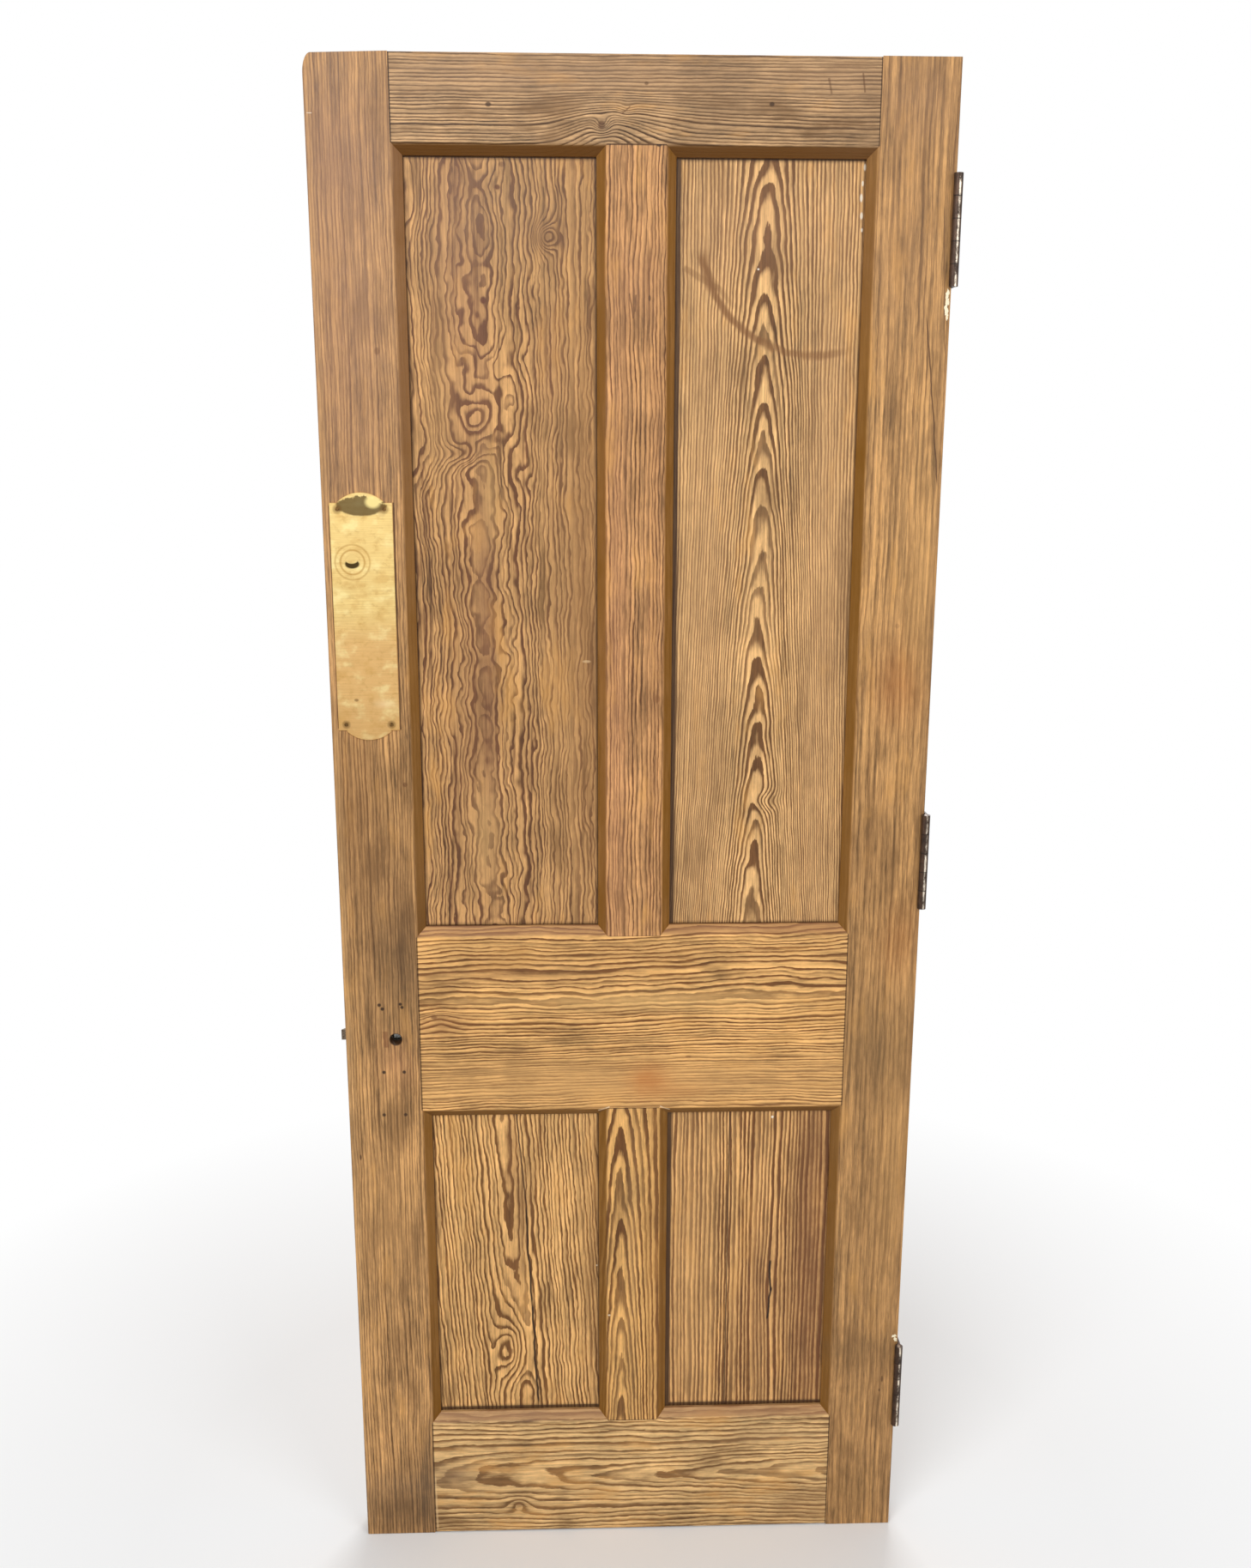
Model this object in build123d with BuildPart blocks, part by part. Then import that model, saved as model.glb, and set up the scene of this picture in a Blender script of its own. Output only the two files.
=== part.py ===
from build123d import *
import os

# Four-panelled softwood door leaf with three butt hinges, a finger plate and a sprung
# mortice latch. Millimetres, seen from the front: +X to the hinge edge, +Y into the door,
# +Z up, origin in the middle of the slab's foot. The front face is at y = front.

# Door leaf, measured over the stiles
door_width = 762.0
door_height = 1981.0
door_thickness = 44.0

# Face widths of the framing, from arris to arris
lock_stile_face = 97.5
hinge_stile_face = 93.0
top_rail_face = 96.0
lock_rail_face = 245.0
bottom_rail_face = 179.0
muntin_face = 69.0

# Places of the rails and muntins
lock_rail_foot = 667.0
muntin_offset = 3.0
stile_over_top_rail = 1.0
stile_under_bottom_rail = 2.0

# Bevel struck on the framing round each panel, on both faces
bevel_width = 12.5
bevel_depth = 10.0

# Panels, and the grooves that they float in
panel_thickness = 16.0
panel_side_gap = 0.2
panel_edge_gap = 1.5
groove_floor = 0.5

# Wedged through tenons, and the muntins' stub tenons
tenon_thickness = 14.5
joint_slack = 0.15
top_tenon_height = 44.0
top_tenon_margin = 8.0
haunch_depth = 12.0
lock_tenon_height = 58.0
lock_tenon_margin = 8.0
bottom_tenon_height = 54.0
bottom_tenon_margin = 26.0
wedge_length = 66.0
wedge_thickness = 8.0
wedge_tip = 1.0
stub_length = 34.0
stub_width = 46.0
stub_end_gap = 1.0

# Softened long edges, and the lock stile's worn top corner
edge_round = 1.5
worn_corner_width = 10.0
worn_corner_height = 22.0
worn_end_drop = 2.5

# Butt hinges: the top one hangs below the door's head, the others stand by their rails
hinge_height = 127.0
top_hinge_drop = 126.5
middle_hinge_rise = 37.0
bottom_hinge_fall = 11.0
knuckle_count = 5
knuckle_radius = 5.5
knuckle_end_play = 0.15
pin_radius = 3.0
pin_running_gap = 0.05
pin_end_bevel = 0.6
pin_stand_off = 5.0
leaf_thickness = 2.5
leaf_reach = 38.0
leaf_gap = 1.5
leaf_clearance = 0.3
knuckle_clearance = 0.4
outer_hole_spread = 96.0
outer_hole_reach = 28.0
inner_hole_spread = 36.0
inner_hole_reach = 18.0

# Countersunk slotted wood screws
hinge_screw_shank = 4.4
hinge_screw_head = 8.6
hinge_screw_length = 30.0
small_screw_shank = 2.4
small_screw_head = 5.2
small_screw_length = 13.0
screw_slack = 0.1
screw_slot_share = 0.12

# Finger plate
plate_width = 77.0
plate_side_length = 283.0
plate_edge_inset = 9.0
plate_shoulder_drop = 508.0
plate_shoulder = 10.5
plate_step = 1.5
plate_crown = 12.5
plate_thickness = 1.6
plate_bevel = 0.5
plate_hole_inset = 10.0
plate_hole_rise = 7.5

# Mortice latch, placed by its spindle between the lock rail's tenons
spindle_rise = 103.0
spindle_backset = 66.5
spindle_bore_radius = 8.0
spindle_square = 8.2
case_height = 28.0
case_thickness = 12.0
case_wall = 1.5
case_slack = 0.3
case_rear_room = 20.5
forend_length = 57.0
forend_width = 20.0
forend_thickness = 2.5
forend_hole_spread = 43.0
bolt_height = 14.0
bolt_side_gap = 0.2
bolt_throw = 8.5
bolt_nose_flat = 1.3
bolt_block_length = 18.5
carriage_top_gap = 0.9
strap_thickness = 6.0
lug_height = 3.8
lug_gap = 0.8
rear_bar = 3.5
hub_radius = 7.0
hub_running_gap = 0.05
wing_width = 3.0
wing_tip_gap = 0.5
wing_side_gap = 0.5
spring_radius = 3.6
spring_wire_radius = 0.5
spring_turns = 5
spring_wire_side_count = 6
spring_end_gap = 0.3
web_place = 30.0

# Lines that the pieces share
front = -door_thickness / 2
back = door_thickness / 2
lock_edge = -door_width / 2
hinge_edge = door_width / 2
lock_arris = lock_edge + lock_stile_face
hinge_arris = hinge_edge - hinge_stile_face
muntin_left = muntin_offset - muntin_face / 2
muntin_right = muntin_offset + muntin_face / 2
bottom_rail_foot = stile_under_bottom_rail
bottom_rail_top = bottom_rail_foot + bottom_rail_face
lock_rail_top = lock_rail_foot + lock_rail_face
top_rail_top = door_height - stile_over_top_rail
top_rail_foot = top_rail_top - top_rail_face
beyond = 1.0

panel_openings = {
    "upper_left": (lock_arris, muntin_left, lock_rail_top, top_rail_foot),
    "upper_right": (muntin_right, hinge_arris, lock_rail_top, top_rail_foot),
    "lower_left": (lock_arris, muntin_left, bottom_rail_top, lock_rail_foot),
    "lower_right": (muntin_right, hinge_arris, bottom_rail_top, lock_rail_foot),
}

# Through tenons of each rail, by foot and head
rail_tenons = {
    "top_rail": [
        (top_rail_foot + top_tenon_margin, top_rail_foot + top_tenon_margin + top_tenon_height),
    ],
    "lock_rail": [
        (lock_rail_foot + lock_tenon_margin,
         lock_rail_foot + lock_tenon_margin + lock_tenon_height),
        (lock_rail_top - lock_tenon_margin - lock_tenon_height,
         lock_rail_top - lock_tenon_margin),
    ],
    "bottom_rail": [
        (bottom_rail_foot + bottom_tenon_margin,
         bottom_rail_foot + bottom_tenon_margin + bottom_tenon_height),
        (bottom_rail_top - bottom_tenon_margin - bottom_tenon_height,
         bottom_rail_top - bottom_tenon_margin),
    ],
}
haunch_foot = rail_tenons["top_rail"][0][1]

os.makedirs("parts", exist_ok=True)


def finish(piece, name):
    """Label a finished piece and write it under its own name."""
    piece.part.label = name
    export_step(piece.part, f"parts/{name}.step")


def slab(x0, x1, z0, z1, y0=front, y1=back, mode=Mode.ADD):
    """A rectangular block given by its six faces."""
    with Locations(((x0 + x1) / 2, (y0 + y1) / 2, (z0 + z1) / 2)):
        Box(x1 - x0, y1 - y0, z1 - z0, mode=mode)


def face_prism(points, y0=front, y1=back, mode=Mode.ADD):
    """A prism through the door's thickness over an outline drawn on its face."""
    with BuildSketch(Plane.XZ.offset(-y1)) as outline:
        with BuildLine():
            Polyline(*points, close=True)
        make_face()
    extrude(outline.sketch, amount=y1 - y0, mode=mode)


def sticking(opening, side):
    """The mitred, bevelled strip that carries one side of a panel opening."""
    x0, x1, z0, z1 = opening
    w = bevel_width
    strips = {
        "left": [(x0, z0), (x0, z1), (x0 + w, z1 - w), (x0 + w, z0 + w)],
        "right": [(x1, z0), (x1, z1), (x1 - w, z1 - w), (x1 - w, z0 + w)],
        "foot": [(x0, z0), (x1, z0), (x1 - w, z0 + w), (x0 + w, z0 + w)],
        "head": [(x0, z1), (x1, z1), (x1 - w, z1 - w), (x0 + w, z1 - w)],
    }
    face_prism(strips[side])
    arris = {"left": x0, "right": x1, "foot": z0, "head": z1}[side]
    inward = 1 if side in ("left", "foot") else -1
    far = arris + inward * (w + beyond)
    fall = bevel_depth * (w + beyond) / w
    for face, inside in ((front, 1), (back, -1)):
        outside = face - inside * beyond
        wedge = [(arris, face), (far, face + inside * fall), (far, outside), (arris, outside)]
        if side in ("left", "right"):
            plane, length = Plane.XY.offset(z0), z1 - z0
        else:
            plane, length = Plane.YZ.offset(x0), x1 - x0
            wedge = [(y, z) for z, y in wedge]
        with BuildSketch(plane) as section:
            with BuildLine():
                Polyline(*wedge, close=True)
            make_face()
        extrude(section.sketch, amount=length, mode=Mode.SUBTRACT)


def inset(opening, margin):
    """An opening's rectangle set in from its arrises."""
    x0, x1, z0, z1 = opening
    return x0 + margin, x1 - margin, z0 + margin, z1 - margin


def groove(opening):
    """Cut the groove that a panel's edge floats in."""
    half = panel_thickness / 2 + panel_side_gap
    slab(*inset(opening, groove_floor), -half, half, mode=Mode.SUBTRACT)


def through_mortice(tenon, edge, arris):
    """Cut a mortice through a stile, flared towards the door's edge for two wedges."""
    foot, head = tenon
    inward = 1 if arris > edge else -1
    tip = edge + inward * wedge_length
    end = arris + inward * beyond
    outline = [
        (edge, foot - wedge_thickness),
        (edge, head + wedge_thickness),
        (tip, head + wedge_tip),
        (tip, head + joint_slack),
        (end, head + joint_slack),
        (end, foot - joint_slack),
        (tip, foot - joint_slack),
        (tip, foot - wedge_tip),
    ]
    half = tenon_thickness / 2 + joint_slack
    face_prism(outline, -half, half, Mode.SUBTRACT)


def haunch_socket(arris, inward):
    """Cut the shallow socket for the top rail's haunch, open at the stile's end."""
    half = tenon_thickness / 2 + joint_slack
    floor = arris - inward * (haunch_depth + joint_slack)
    x0, x1 = sorted((floor, arris + inward * beyond))
    slab(x0, x1, haunch_foot, door_height + beyond, -half, half, Mode.SUBTRACT)


def stile_joints(edge, arris):
    """Cut all of a stile's mortices."""
    for tenons in rail_tenons.values():
        for tenon in tenons:
            through_mortice(tenon, edge, arris)
    haunch_socket(arris, 1 if arris > edge else -1)


def stub(foot, head, slack=0.0, mode=Mode.ADD):
    """A muntin's stub tenon, or the mortice for it."""
    half_width = stub_width / 2 + slack
    half = tenon_thickness / 2 + slack
    slab(muntin_offset - half_width, muntin_offset + half_width, foot, head, -half, half, mode)


# Screws stand on a seat: a plane on the surface, its normal out of the material
def screw(shank, head, length):
    """A countersunk screw along -Z, its slotted head flush with z = 0."""
    cone = (head - shank) / 2
    slot = head * screw_slot_share
    with BuildSketch(Plane.XZ) as half_section:
        with BuildLine():
            Polyline(
                (0, 0), (head / 2, 0), (shank / 2, -cone),
                (shank / 2, shank - length), (0, -length), close=True,
            )
        make_face()
    revolve(half_section.sketch, axis=Axis.Z)
    with Locations((0, 0, -slot / 2)):
        Box(head + beyond, slot, slot, mode=Mode.SUBTRACT)


def pilot_hole(seat, shank, length):
    """Cut the hole that a screw's shank goes into."""
    with Locations(seat):
        Hole(shank / 2 + screw_slack, depth=length + screw_slack)


def countersunk_hole(seat, shank, head, depth):
    """Cut a countersunk hole through a metal plate."""
    with Locations(seat):
        CounterSinkHole(
            shank / 2 + screw_slack, head / 2 + screw_slack, depth, counter_sink_angle=90,
        )


with BuildPart() as hinge_screw:
    screw(hinge_screw_shank, hinge_screw_head, hinge_screw_length)
with BuildPart() as small_screw:
    screw(small_screw_shank, small_screw_head, small_screw_length)

# Hinges: pin line, leaf places and screw seats
pin_x = hinge_edge + leaf_gap / 2
pin_y = front - pin_stand_off
leaf_end = pin_y + leaf_reach
hinge_feet = {
    "top": door_height - top_hinge_drop - hinge_height,
    "middle": lock_rail_top + middle_hinge_rise,
    "bottom": bottom_rail_top - bottom_hinge_fall,
}
knuckle_height = hinge_height / knuckle_count


def leaf_seats(x, foot, outward):
    """Screw seats of a leaf's four staggered holes on its face at x."""
    middle = foot + hinge_height / 2
    rows = ((outer_hole_reach, outer_hole_spread), (inner_hole_reach, inner_hole_spread))
    return [
        Plane((x, pin_y + reach, middle + side * spread / 2), z_dir=(outward, 0, 0))
        for reach, spread in rows
        for side in (-1, 1)
    ]


# Finger plate: foot, head and screw seats
plate_left = lock_edge + plate_edge_inset
plate_right = plate_left + plate_width
plate_head = door_height - plate_shoulder_drop
plate_foot = plate_head - plate_side_length
plate_face = front - plate_thickness
plate_seats = [
    Plane((x, plate_face, z), z_dir=(0, -1, 0))
    for x in (plate_left + plate_hole_inset, plate_right - plate_hole_inset)
    for z in (plate_foot + plate_hole_rise, plate_head - plate_hole_rise)
]

# Latch: spindle, case and screw seats
spindle_x = lock_edge + spindle_backset
spindle_z = lock_rail_foot + spindle_rise
forend_back = lock_edge + forend_thickness
case_end = spindle_x + case_rear_room + case_wall
case_inner = case_height / 2 - case_wall
case_inner_side = case_thickness / 2 - case_wall
forend_seats = [
    Plane((lock_edge, 0, spindle_z + side * forend_hole_spread / 2), z_dir=(-1, 0, 0))
    for side in (-1, 1)
]

# Lock stile: mortised for the rails and the latch, its top outer corner worn round
with BuildPart() as lock_stile:
    corner_x = lock_edge + worn_corner_width
    corner_z = door_height - worn_end_drop - worn_corner_height
    with BuildSketch(Plane.XZ.offset(-back)):
        with BuildLine():
            EllipticalCenterArc(
                (corner_x, corner_z), worn_corner_width, worn_corner_height,
                start_angle=90, arc_size=90,
            )
            Polyline(
                (lock_edge, corner_z), (lock_edge, 0), (lock_arris, 0),
                (lock_arris, door_height), (corner_x, corner_z + worn_corner_height),
            )
        make_face()
    extrude(amount=door_thickness)
    fillet(lock_stile.edges().filter_by(Axis.Z).group_by(Axis.X)[0], radius=edge_round)
    for name in ("upper_left", "lower_left"):
        sticking(panel_openings[name], "left")
        groove(panel_openings[name])
    stile_joints(lock_edge, lock_arris)
    room = case_height / 2 + case_slack
    side_room = case_thickness / 2 + case_slack
    slab(
        lock_edge - beyond, case_end + case_slack, spindle_z - room, spindle_z + room,
        -side_room, side_room, Mode.SUBTRACT,
    )
    slab(
        lock_edge - beyond, forend_back,
        spindle_z - forend_length / 2, spindle_z + forend_length / 2,
        -forend_width / 2, forend_width / 2, Mode.SUBTRACT,
    )
    with Locations(Plane((spindle_x, front, spindle_z), z_dir=(0, -1, 0))):
        Hole(spindle_bore_radius, depth=door_thickness)
    for seat in plate_seats + forend_seats:
        pilot_hole(seat, small_screw_shank, small_screw_length)
finish(lock_stile, "lock_stile")

# Hinge stile: mortised for the rails, its edge let in for the three leaves
with BuildPart() as hinge_stile:
    slab(hinge_arris, hinge_edge, 0, door_height)
    fillet(hinge_stile.edges().filter_by(Axis.Z).group_by(Axis.X)[-1], radius=edge_round)
    for name in ("upper_right", "lower_right"):
        sticking(panel_openings[name], "right")
        groove(panel_openings[name])
    stile_joints(hinge_edge, hinge_arris)
    for foot in hinge_feet.values():
        slab(
            hinge_edge - leaf_thickness, hinge_edge + beyond,
            foot - leaf_clearance, foot + hinge_height + leaf_clearance,
            front - beyond, leaf_end + leaf_clearance, Mode.SUBTRACT,
        )
        for seat in leaf_seats(hinge_edge, foot, 1):
            pilot_hole(seat, hinge_screw_shank, hinge_screw_length)
finish(hinge_stile, "hinge_stile")

# Rails, each with its through tenons and the strips round the panels that it meets
rails = {
    "top_rail": (top_rail_foot, top_rail_top, (), ("upper_left", "upper_right")),
    "lock_rail": (
        lock_rail_foot, lock_rail_top,
        ("upper_left", "upper_right"), ("lower_left", "lower_right"),
    ),
    "bottom_rail": (bottom_rail_foot, bottom_rail_top, ("lower_left", "lower_right"), ()),
}
for rail_name, (foot, head, above, below) in rails.items():
    with BuildPart() as rail:
        slab(lock_arris, hinge_arris, foot, head)
        for tenon_foot, tenon_head in rail_tenons[rail_name]:
            half = tenon_thickness / 2
            slab(lock_edge, hinge_edge, tenon_foot, tenon_head, -half, half)
        if rail_name == "top_rail":
            slab(
                lock_arris - haunch_depth, hinge_arris + haunch_depth,
                haunch_foot, head, -half, half,
            )
        for name in above:
            sticking(panel_openings[name], "foot")
            groove(panel_openings[name])
        for name in below:
            sticking(panel_openings[name], "head")
            groove(panel_openings[name])
        deep = stub_length + stub_end_gap
        if above:
            stub(head - deep, head + beyond, joint_slack, Mode.SUBTRACT)
        if below:
            stub(foot - beyond, foot + deep, joint_slack, Mode.SUBTRACT)
    finish(rail, rail_name)

# Muntins, stub-tenoned between the rails
for muntin_name, foot, head, left, right in (
    ("upper_muntin", lock_rail_top, top_rail_foot, "upper_left", "upper_right"),
    ("lower_muntin", bottom_rail_top, lock_rail_foot, "lower_left", "lower_right"),
):
    with BuildPart() as muntin:
        slab(muntin_left, muntin_right, foot, head)
        sticking(panel_openings[left], "right")
        sticking(panel_openings[right], "left")
        stub(foot - stub_length, head + stub_length)
        groove(panel_openings[left])
        groove(panel_openings[right])
    finish(muntin, muntin_name)

# Flat panels, free to move in their grooves
for name, opening in panel_openings.items():
    with BuildPart() as panel:
        half = panel_thickness / 2
        slab(*inset(opening, groove_floor + panel_edge_gap), -half, half)
    finish(panel, f"{name}_panel")

# Hardwood wedges above and below each tenon, driven in from both edges
for rail_name, tenons in rail_tenons.items():
    with BuildPart() as wedges:
        for edge, inward in ((lock_edge, 1), (hinge_edge, -1)):
            tip = edge + inward * wedge_length
            for tenon in tenons:
                for line, away in zip(tenon, (-1, 1)):
                    outline = [
                        (edge, line), (edge, line + away * wedge_thickness),
                        (tip, line + away * wedge_tip), (tip, line),
                    ]
                    face_prism(outline, -tenon_thickness / 2, tenon_thickness / 2)
    finish(wedges, f"{rail_name}_wedges")

# Finger plate with a crown at each end
with BuildPart() as finger_plate:
    middle_x = (plate_left + plate_right) / 2
    arc_left = plate_left + plate_shoulder
    arc_right = plate_right - plate_shoulder
    with BuildSketch(Plane.XZ.offset(-front)):
        with BuildLine():
            for level, up in ((plate_head, 1), (plate_foot, -1)):
                step = level + up * plate_step
                Polyline((plate_left, level), (arc_left, level), (arc_left, step))
                ThreePointArc(
                    (arc_left, step), (middle_x, level + up * plate_crown), (arc_right, step),
                )
                Polyline((arc_right, step), (arc_right, level), (plate_right, level))
            Line((plate_left, plate_head), (plate_left, plate_foot))
            Line((plate_right, plate_head), (plate_right, plate_foot))
        make_face()
    extrude(amount=plate_thickness)
    chamfer(finger_plate.faces().sort_by(Axis.Y)[0].edges(), length=plate_bevel)
    for seat in plate_seats:
        countersunk_hole(seat, small_screw_shank, small_screw_head, plate_thickness)
finish(finger_plate, "finger_plate")

with BuildPart() as finger_plate_screws:
    with Locations(*plate_seats):
        add(small_screw.part)
finish(finger_plate_screws, "finger_plate_screws")


def hinge_leaf(foot, leaf_x, own, outward):
    """A hinge leaf with its own knuckles, room for the other leaf's, and its four holes."""
    head = foot + hinge_height
    slab(*leaf_x, foot, head, pin_y, leaf_end)
    pin_line = Plane((pin_x, pin_y, foot))
    with Locations(pin_line):
        Cylinder(
            knuckle_radius, hinge_height,
            align=(Align.CENTER, Align.CENTER, Align.MIN),
        )
    for k in range(knuckle_count):
        base = foot + k * knuckle_height
        low = base if k == 0 else base - knuckle_end_play / 2
        high = base + knuckle_height
        high = high if k == knuckle_count - 1 else high + knuckle_end_play / 2
        if k % 2 != own:
            reach = knuckle_radius + knuckle_clearance
            low = low - beyond if k == 0 else low
            high = high + beyond if k == knuckle_count - 1 else high
            slab(
                pin_x - reach, pin_x + reach, low, high,
                pin_y - reach, pin_y + reach, Mode.SUBTRACT,
            )
    with Locations(pin_line):
        Cylinder(
            pin_radius + pin_running_gap, hinge_height,
            align=(Align.CENTER, Align.CENTER, Align.MIN), mode=Mode.SUBTRACT,
        )
    face = leaf_x[1] if outward > 0 else leaf_x[0]
    for seat in leaf_seats(face, foot, outward):
        countersunk_hole(seat, hinge_screw_shank, hinge_screw_head, leaf_thickness)


# The frame leaf carries the first, third and fifth knuckles, the stile leaf the others
for hinge_name, foot in hinge_feet.items():
    with BuildPart() as frame_leaf:
        hinge_leaf(
            foot, (hinge_edge + leaf_gap, hinge_edge + leaf_gap + leaf_thickness), 0, -1,
        )
    finish(frame_leaf, f"frame_leaf_{hinge_name}")
    with BuildPart() as stile_leaf:
        hinge_leaf(foot, (hinge_edge - leaf_thickness, hinge_edge), 1, 1)
    finish(stile_leaf, f"stile_leaf_{hinge_name}")
    with BuildPart() as pin:
        with Locations((pin_x, pin_y, foot + hinge_height / 2)):
            Cylinder(pin_radius, hinge_height)
        chamfer(pin.edges().filter_by(GeomType.CIRCLE), length=pin_end_bevel)
    finish(pin, f"hinge_pin_{hinge_name}")
    with BuildPart() as hinge_screws:
        with Locations(*leaf_seats(hinge_edge, foot, 1)):
            add(hinge_screw.part)
    finish(hinge_screws, f"hinge_screws_{hinge_name}")

# Latch case: a folded box, open at the forend, with a web that the spring stands on
strap_foot = hub_radius + wing_side_gap
strap_head = case_inner - carriage_top_gap
web_x = forend_back + bolt_block_length + web_place
with BuildPart() as latch_case:
    slab(
        forend_back, case_end, spindle_z - case_height / 2, spindle_z + case_height / 2,
        -case_thickness / 2, case_thickness / 2,
    )
    slab(
        forend_back - beyond, case_end - case_wall,
        spindle_z - case_inner, spindle_z + case_inner,
        -case_inner_side, case_inner_side, Mode.SUBTRACT,
    )
    slab(
        web_x, web_x + case_wall, spindle_z - case_inner, spindle_z + strap_foot - beyond,
        -case_inner_side, case_inner_side,
    )
    with Locations(Plane((spindle_x, -case_thickness / 2, spindle_z), z_dir=(0, -1, 0))):
        Hole(hub_radius + hub_running_gap, depth=case_thickness)
finish(latch_case, "latch_case")

# Forend: the brass plate on the door's edge that the bolt passes through
with BuildPart() as latch_forend:
    slab(
        lock_edge, forend_back,
        spindle_z - forend_length / 2, spindle_z + forend_length / 2,
        -forend_width / 2, forend_width / 2,
    )
    slab(
        lock_edge - beyond, forend_back + beyond,
        spindle_z - bolt_height / 2 - bolt_side_gap, spindle_z + bolt_height / 2 + bolt_side_gap,
        -case_inner_side, case_inner_side, Mode.SUBTRACT,
    )
    for seat in forend_seats:
        countersunk_hole(seat, small_screw_shank, small_screw_head, forend_thickness)
finish(latch_forend, "latch_forend")

with BuildPart() as latch_screws:
    with Locations(*forend_seats):
        add(small_screw.part)
finish(latch_screws, "latch_screws")

# Bolt: a bevelled nose, a block that stops against the forend, and a carriage over the hub
block_end = forend_back + bolt_block_length
bolt_side = case_inner_side - bolt_side_gap
rear_bar_x = spindle_x + hub_radius + wing_side_gap + lug_gap
lug_x = spindle_x + wing_width / 2 + lug_gap
with BuildPart() as latch_bolt:
    nose = lock_edge - bolt_throw
    with BuildSketch(Plane.XY.offset(spindle_z - bolt_height / 2)):
        with BuildLine():
            Polyline(
                (nose, -bolt_side + bolt_nose_flat), (nose, -bolt_side),
                (forend_back + beyond, -bolt_side), (forend_back + beyond, bolt_side),
                (lock_edge, bolt_side),
            )
            TangentArc(
                (lock_edge, bolt_side), (nose, -bolt_side + bolt_nose_flat),
                tangent=(-1, -0.35),
            )
        make_face()
    extrude(amount=bolt_height)
    slab(
        forend_back, block_end, spindle_z - strap_head, spindle_z + strap_head,
        -bolt_side, bolt_side,
    )
    half_strap = strap_thickness / 2
    slab(
        block_end, rear_bar_x + rear_bar, spindle_z + strap_foot, spindle_z + strap_head,
        -half_strap, half_strap,
    )
    slab(
        rear_bar_x, rear_bar_x + rear_bar, spindle_z - strap_head, spindle_z + strap_head,
        -half_strap, half_strap,
    )
    slab(
        lug_x, rear_bar_x, spindle_z - strap_head, spindle_z - strap_head + lug_height,
        -half_strap, half_strap,
    )
finish(latch_bolt, "latch_bolt")

# Follower: the hub that the spindle turns, with the wing that draws the bolt back
with BuildPart() as latch_follower:
    with Locations(Plane((spindle_x, 0, spindle_z), z_dir=(0, -1, 0))):
        Cylinder(hub_radius, case_thickness)
    wing_side = case_inner_side - wing_side_gap
    slab(
        spindle_x - wing_width / 2, spindle_x + wing_width / 2,
        spindle_z - case_inner + wing_tip_gap, spindle_z, -wing_side, wing_side,
    )
    half_square = spindle_square / 2
    slab(
        spindle_x - half_square, spindle_x + half_square,
        spindle_z - half_square, spindle_z + half_square, front, back, Mode.SUBTRACT,
    )
finish(latch_follower, "latch_follower")

# Spring: an open coil between the web and the bolt's block
spring_start = block_end + spring_end_gap + spring_wire_radius
spring_length = web_x - spring_end_gap - spring_wire_radius - spring_start
with BuildPart() as latch_spring:
    with BuildLine():
        coil = Helix(
            spring_length / spring_turns, spring_length, spring_radius,
            center=(spring_start, 0, spindle_z), direction=(1, 0, 0),
        )
    with BuildSketch(Plane(coil @ 0, z_dir=coil % 0)):
        RegularPolygon(spring_wire_radius, spring_wire_side_count)
    sweep()
finish(latch_spring, "latch_spring")
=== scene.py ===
import math

import bpy
import numpy as np
from mathutils import Matrix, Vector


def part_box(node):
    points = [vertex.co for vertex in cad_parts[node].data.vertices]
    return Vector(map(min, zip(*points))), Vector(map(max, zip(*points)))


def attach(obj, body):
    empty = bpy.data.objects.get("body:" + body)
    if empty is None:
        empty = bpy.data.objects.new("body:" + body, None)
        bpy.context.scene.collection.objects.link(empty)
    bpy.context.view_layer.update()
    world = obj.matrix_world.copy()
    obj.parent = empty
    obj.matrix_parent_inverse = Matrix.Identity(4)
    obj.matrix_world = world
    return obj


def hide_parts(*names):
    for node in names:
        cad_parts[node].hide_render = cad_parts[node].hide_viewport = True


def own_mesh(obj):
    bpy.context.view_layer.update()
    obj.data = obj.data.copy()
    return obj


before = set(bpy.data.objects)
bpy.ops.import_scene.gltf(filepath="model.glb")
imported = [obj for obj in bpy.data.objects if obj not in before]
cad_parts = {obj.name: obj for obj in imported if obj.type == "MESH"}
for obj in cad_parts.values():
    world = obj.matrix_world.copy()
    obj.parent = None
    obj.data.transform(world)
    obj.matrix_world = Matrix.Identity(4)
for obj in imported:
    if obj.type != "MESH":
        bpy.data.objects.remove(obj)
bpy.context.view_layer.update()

# Viewpoint
# The door is seen from the front, a little to its left and from above its middle,
# as someone standing two paces away would see it.
view = bpy.data.cameras.new("viewpoint")
view.sensor_fit = "VERTICAL"
view.sensor_height = 36.0
view.lens = 32.78
view_point = bpy.data.objects.new("viewpoint", view)
bpy.context.collection.objects.link(view_point)
view_right = (0.9995, -0.0324, 0.0021)
view_up = (0.0053, 0.2265, 0.9740)
view_forward = (0.0320, 0.9735, -0.2265)
view_place = (-0.0674, -1.8094, 1.5343)
view_point.matrix_world = Matrix([
    (view_right[k], view_up[k], -view_forward[k], view_place[k]) for k in range(3)
] + [(0, 0, 0, 1)])
bpy.context.scene.camera = view_point
bpy.context.scene.view_settings.view_transform = "Standard"


# Floor and daylight
# A pale seamless floor that runs out to white, lit by two wide soft lamps in front, one behind
# and an even sky.
def sheet_grid(first, second, surface):
    """Mesh arrays of a surface: surface(u, v) gives the points over the grid first x second."""
    u, v = np.meshgrid(first, second, indexing="ij")
    points = np.stack(surface(u, v), axis=-1).reshape(-1, 3)
    rows, columns = len(first), len(second)
    corner = (np.arange(rows - 1)[:, None] * columns + np.arange(columns - 1)[None]).ravel()
    faces = np.stack([corner, corner + columns, corner + columns + 1, corner + 1], axis=-1)
    return points, faces


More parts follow.
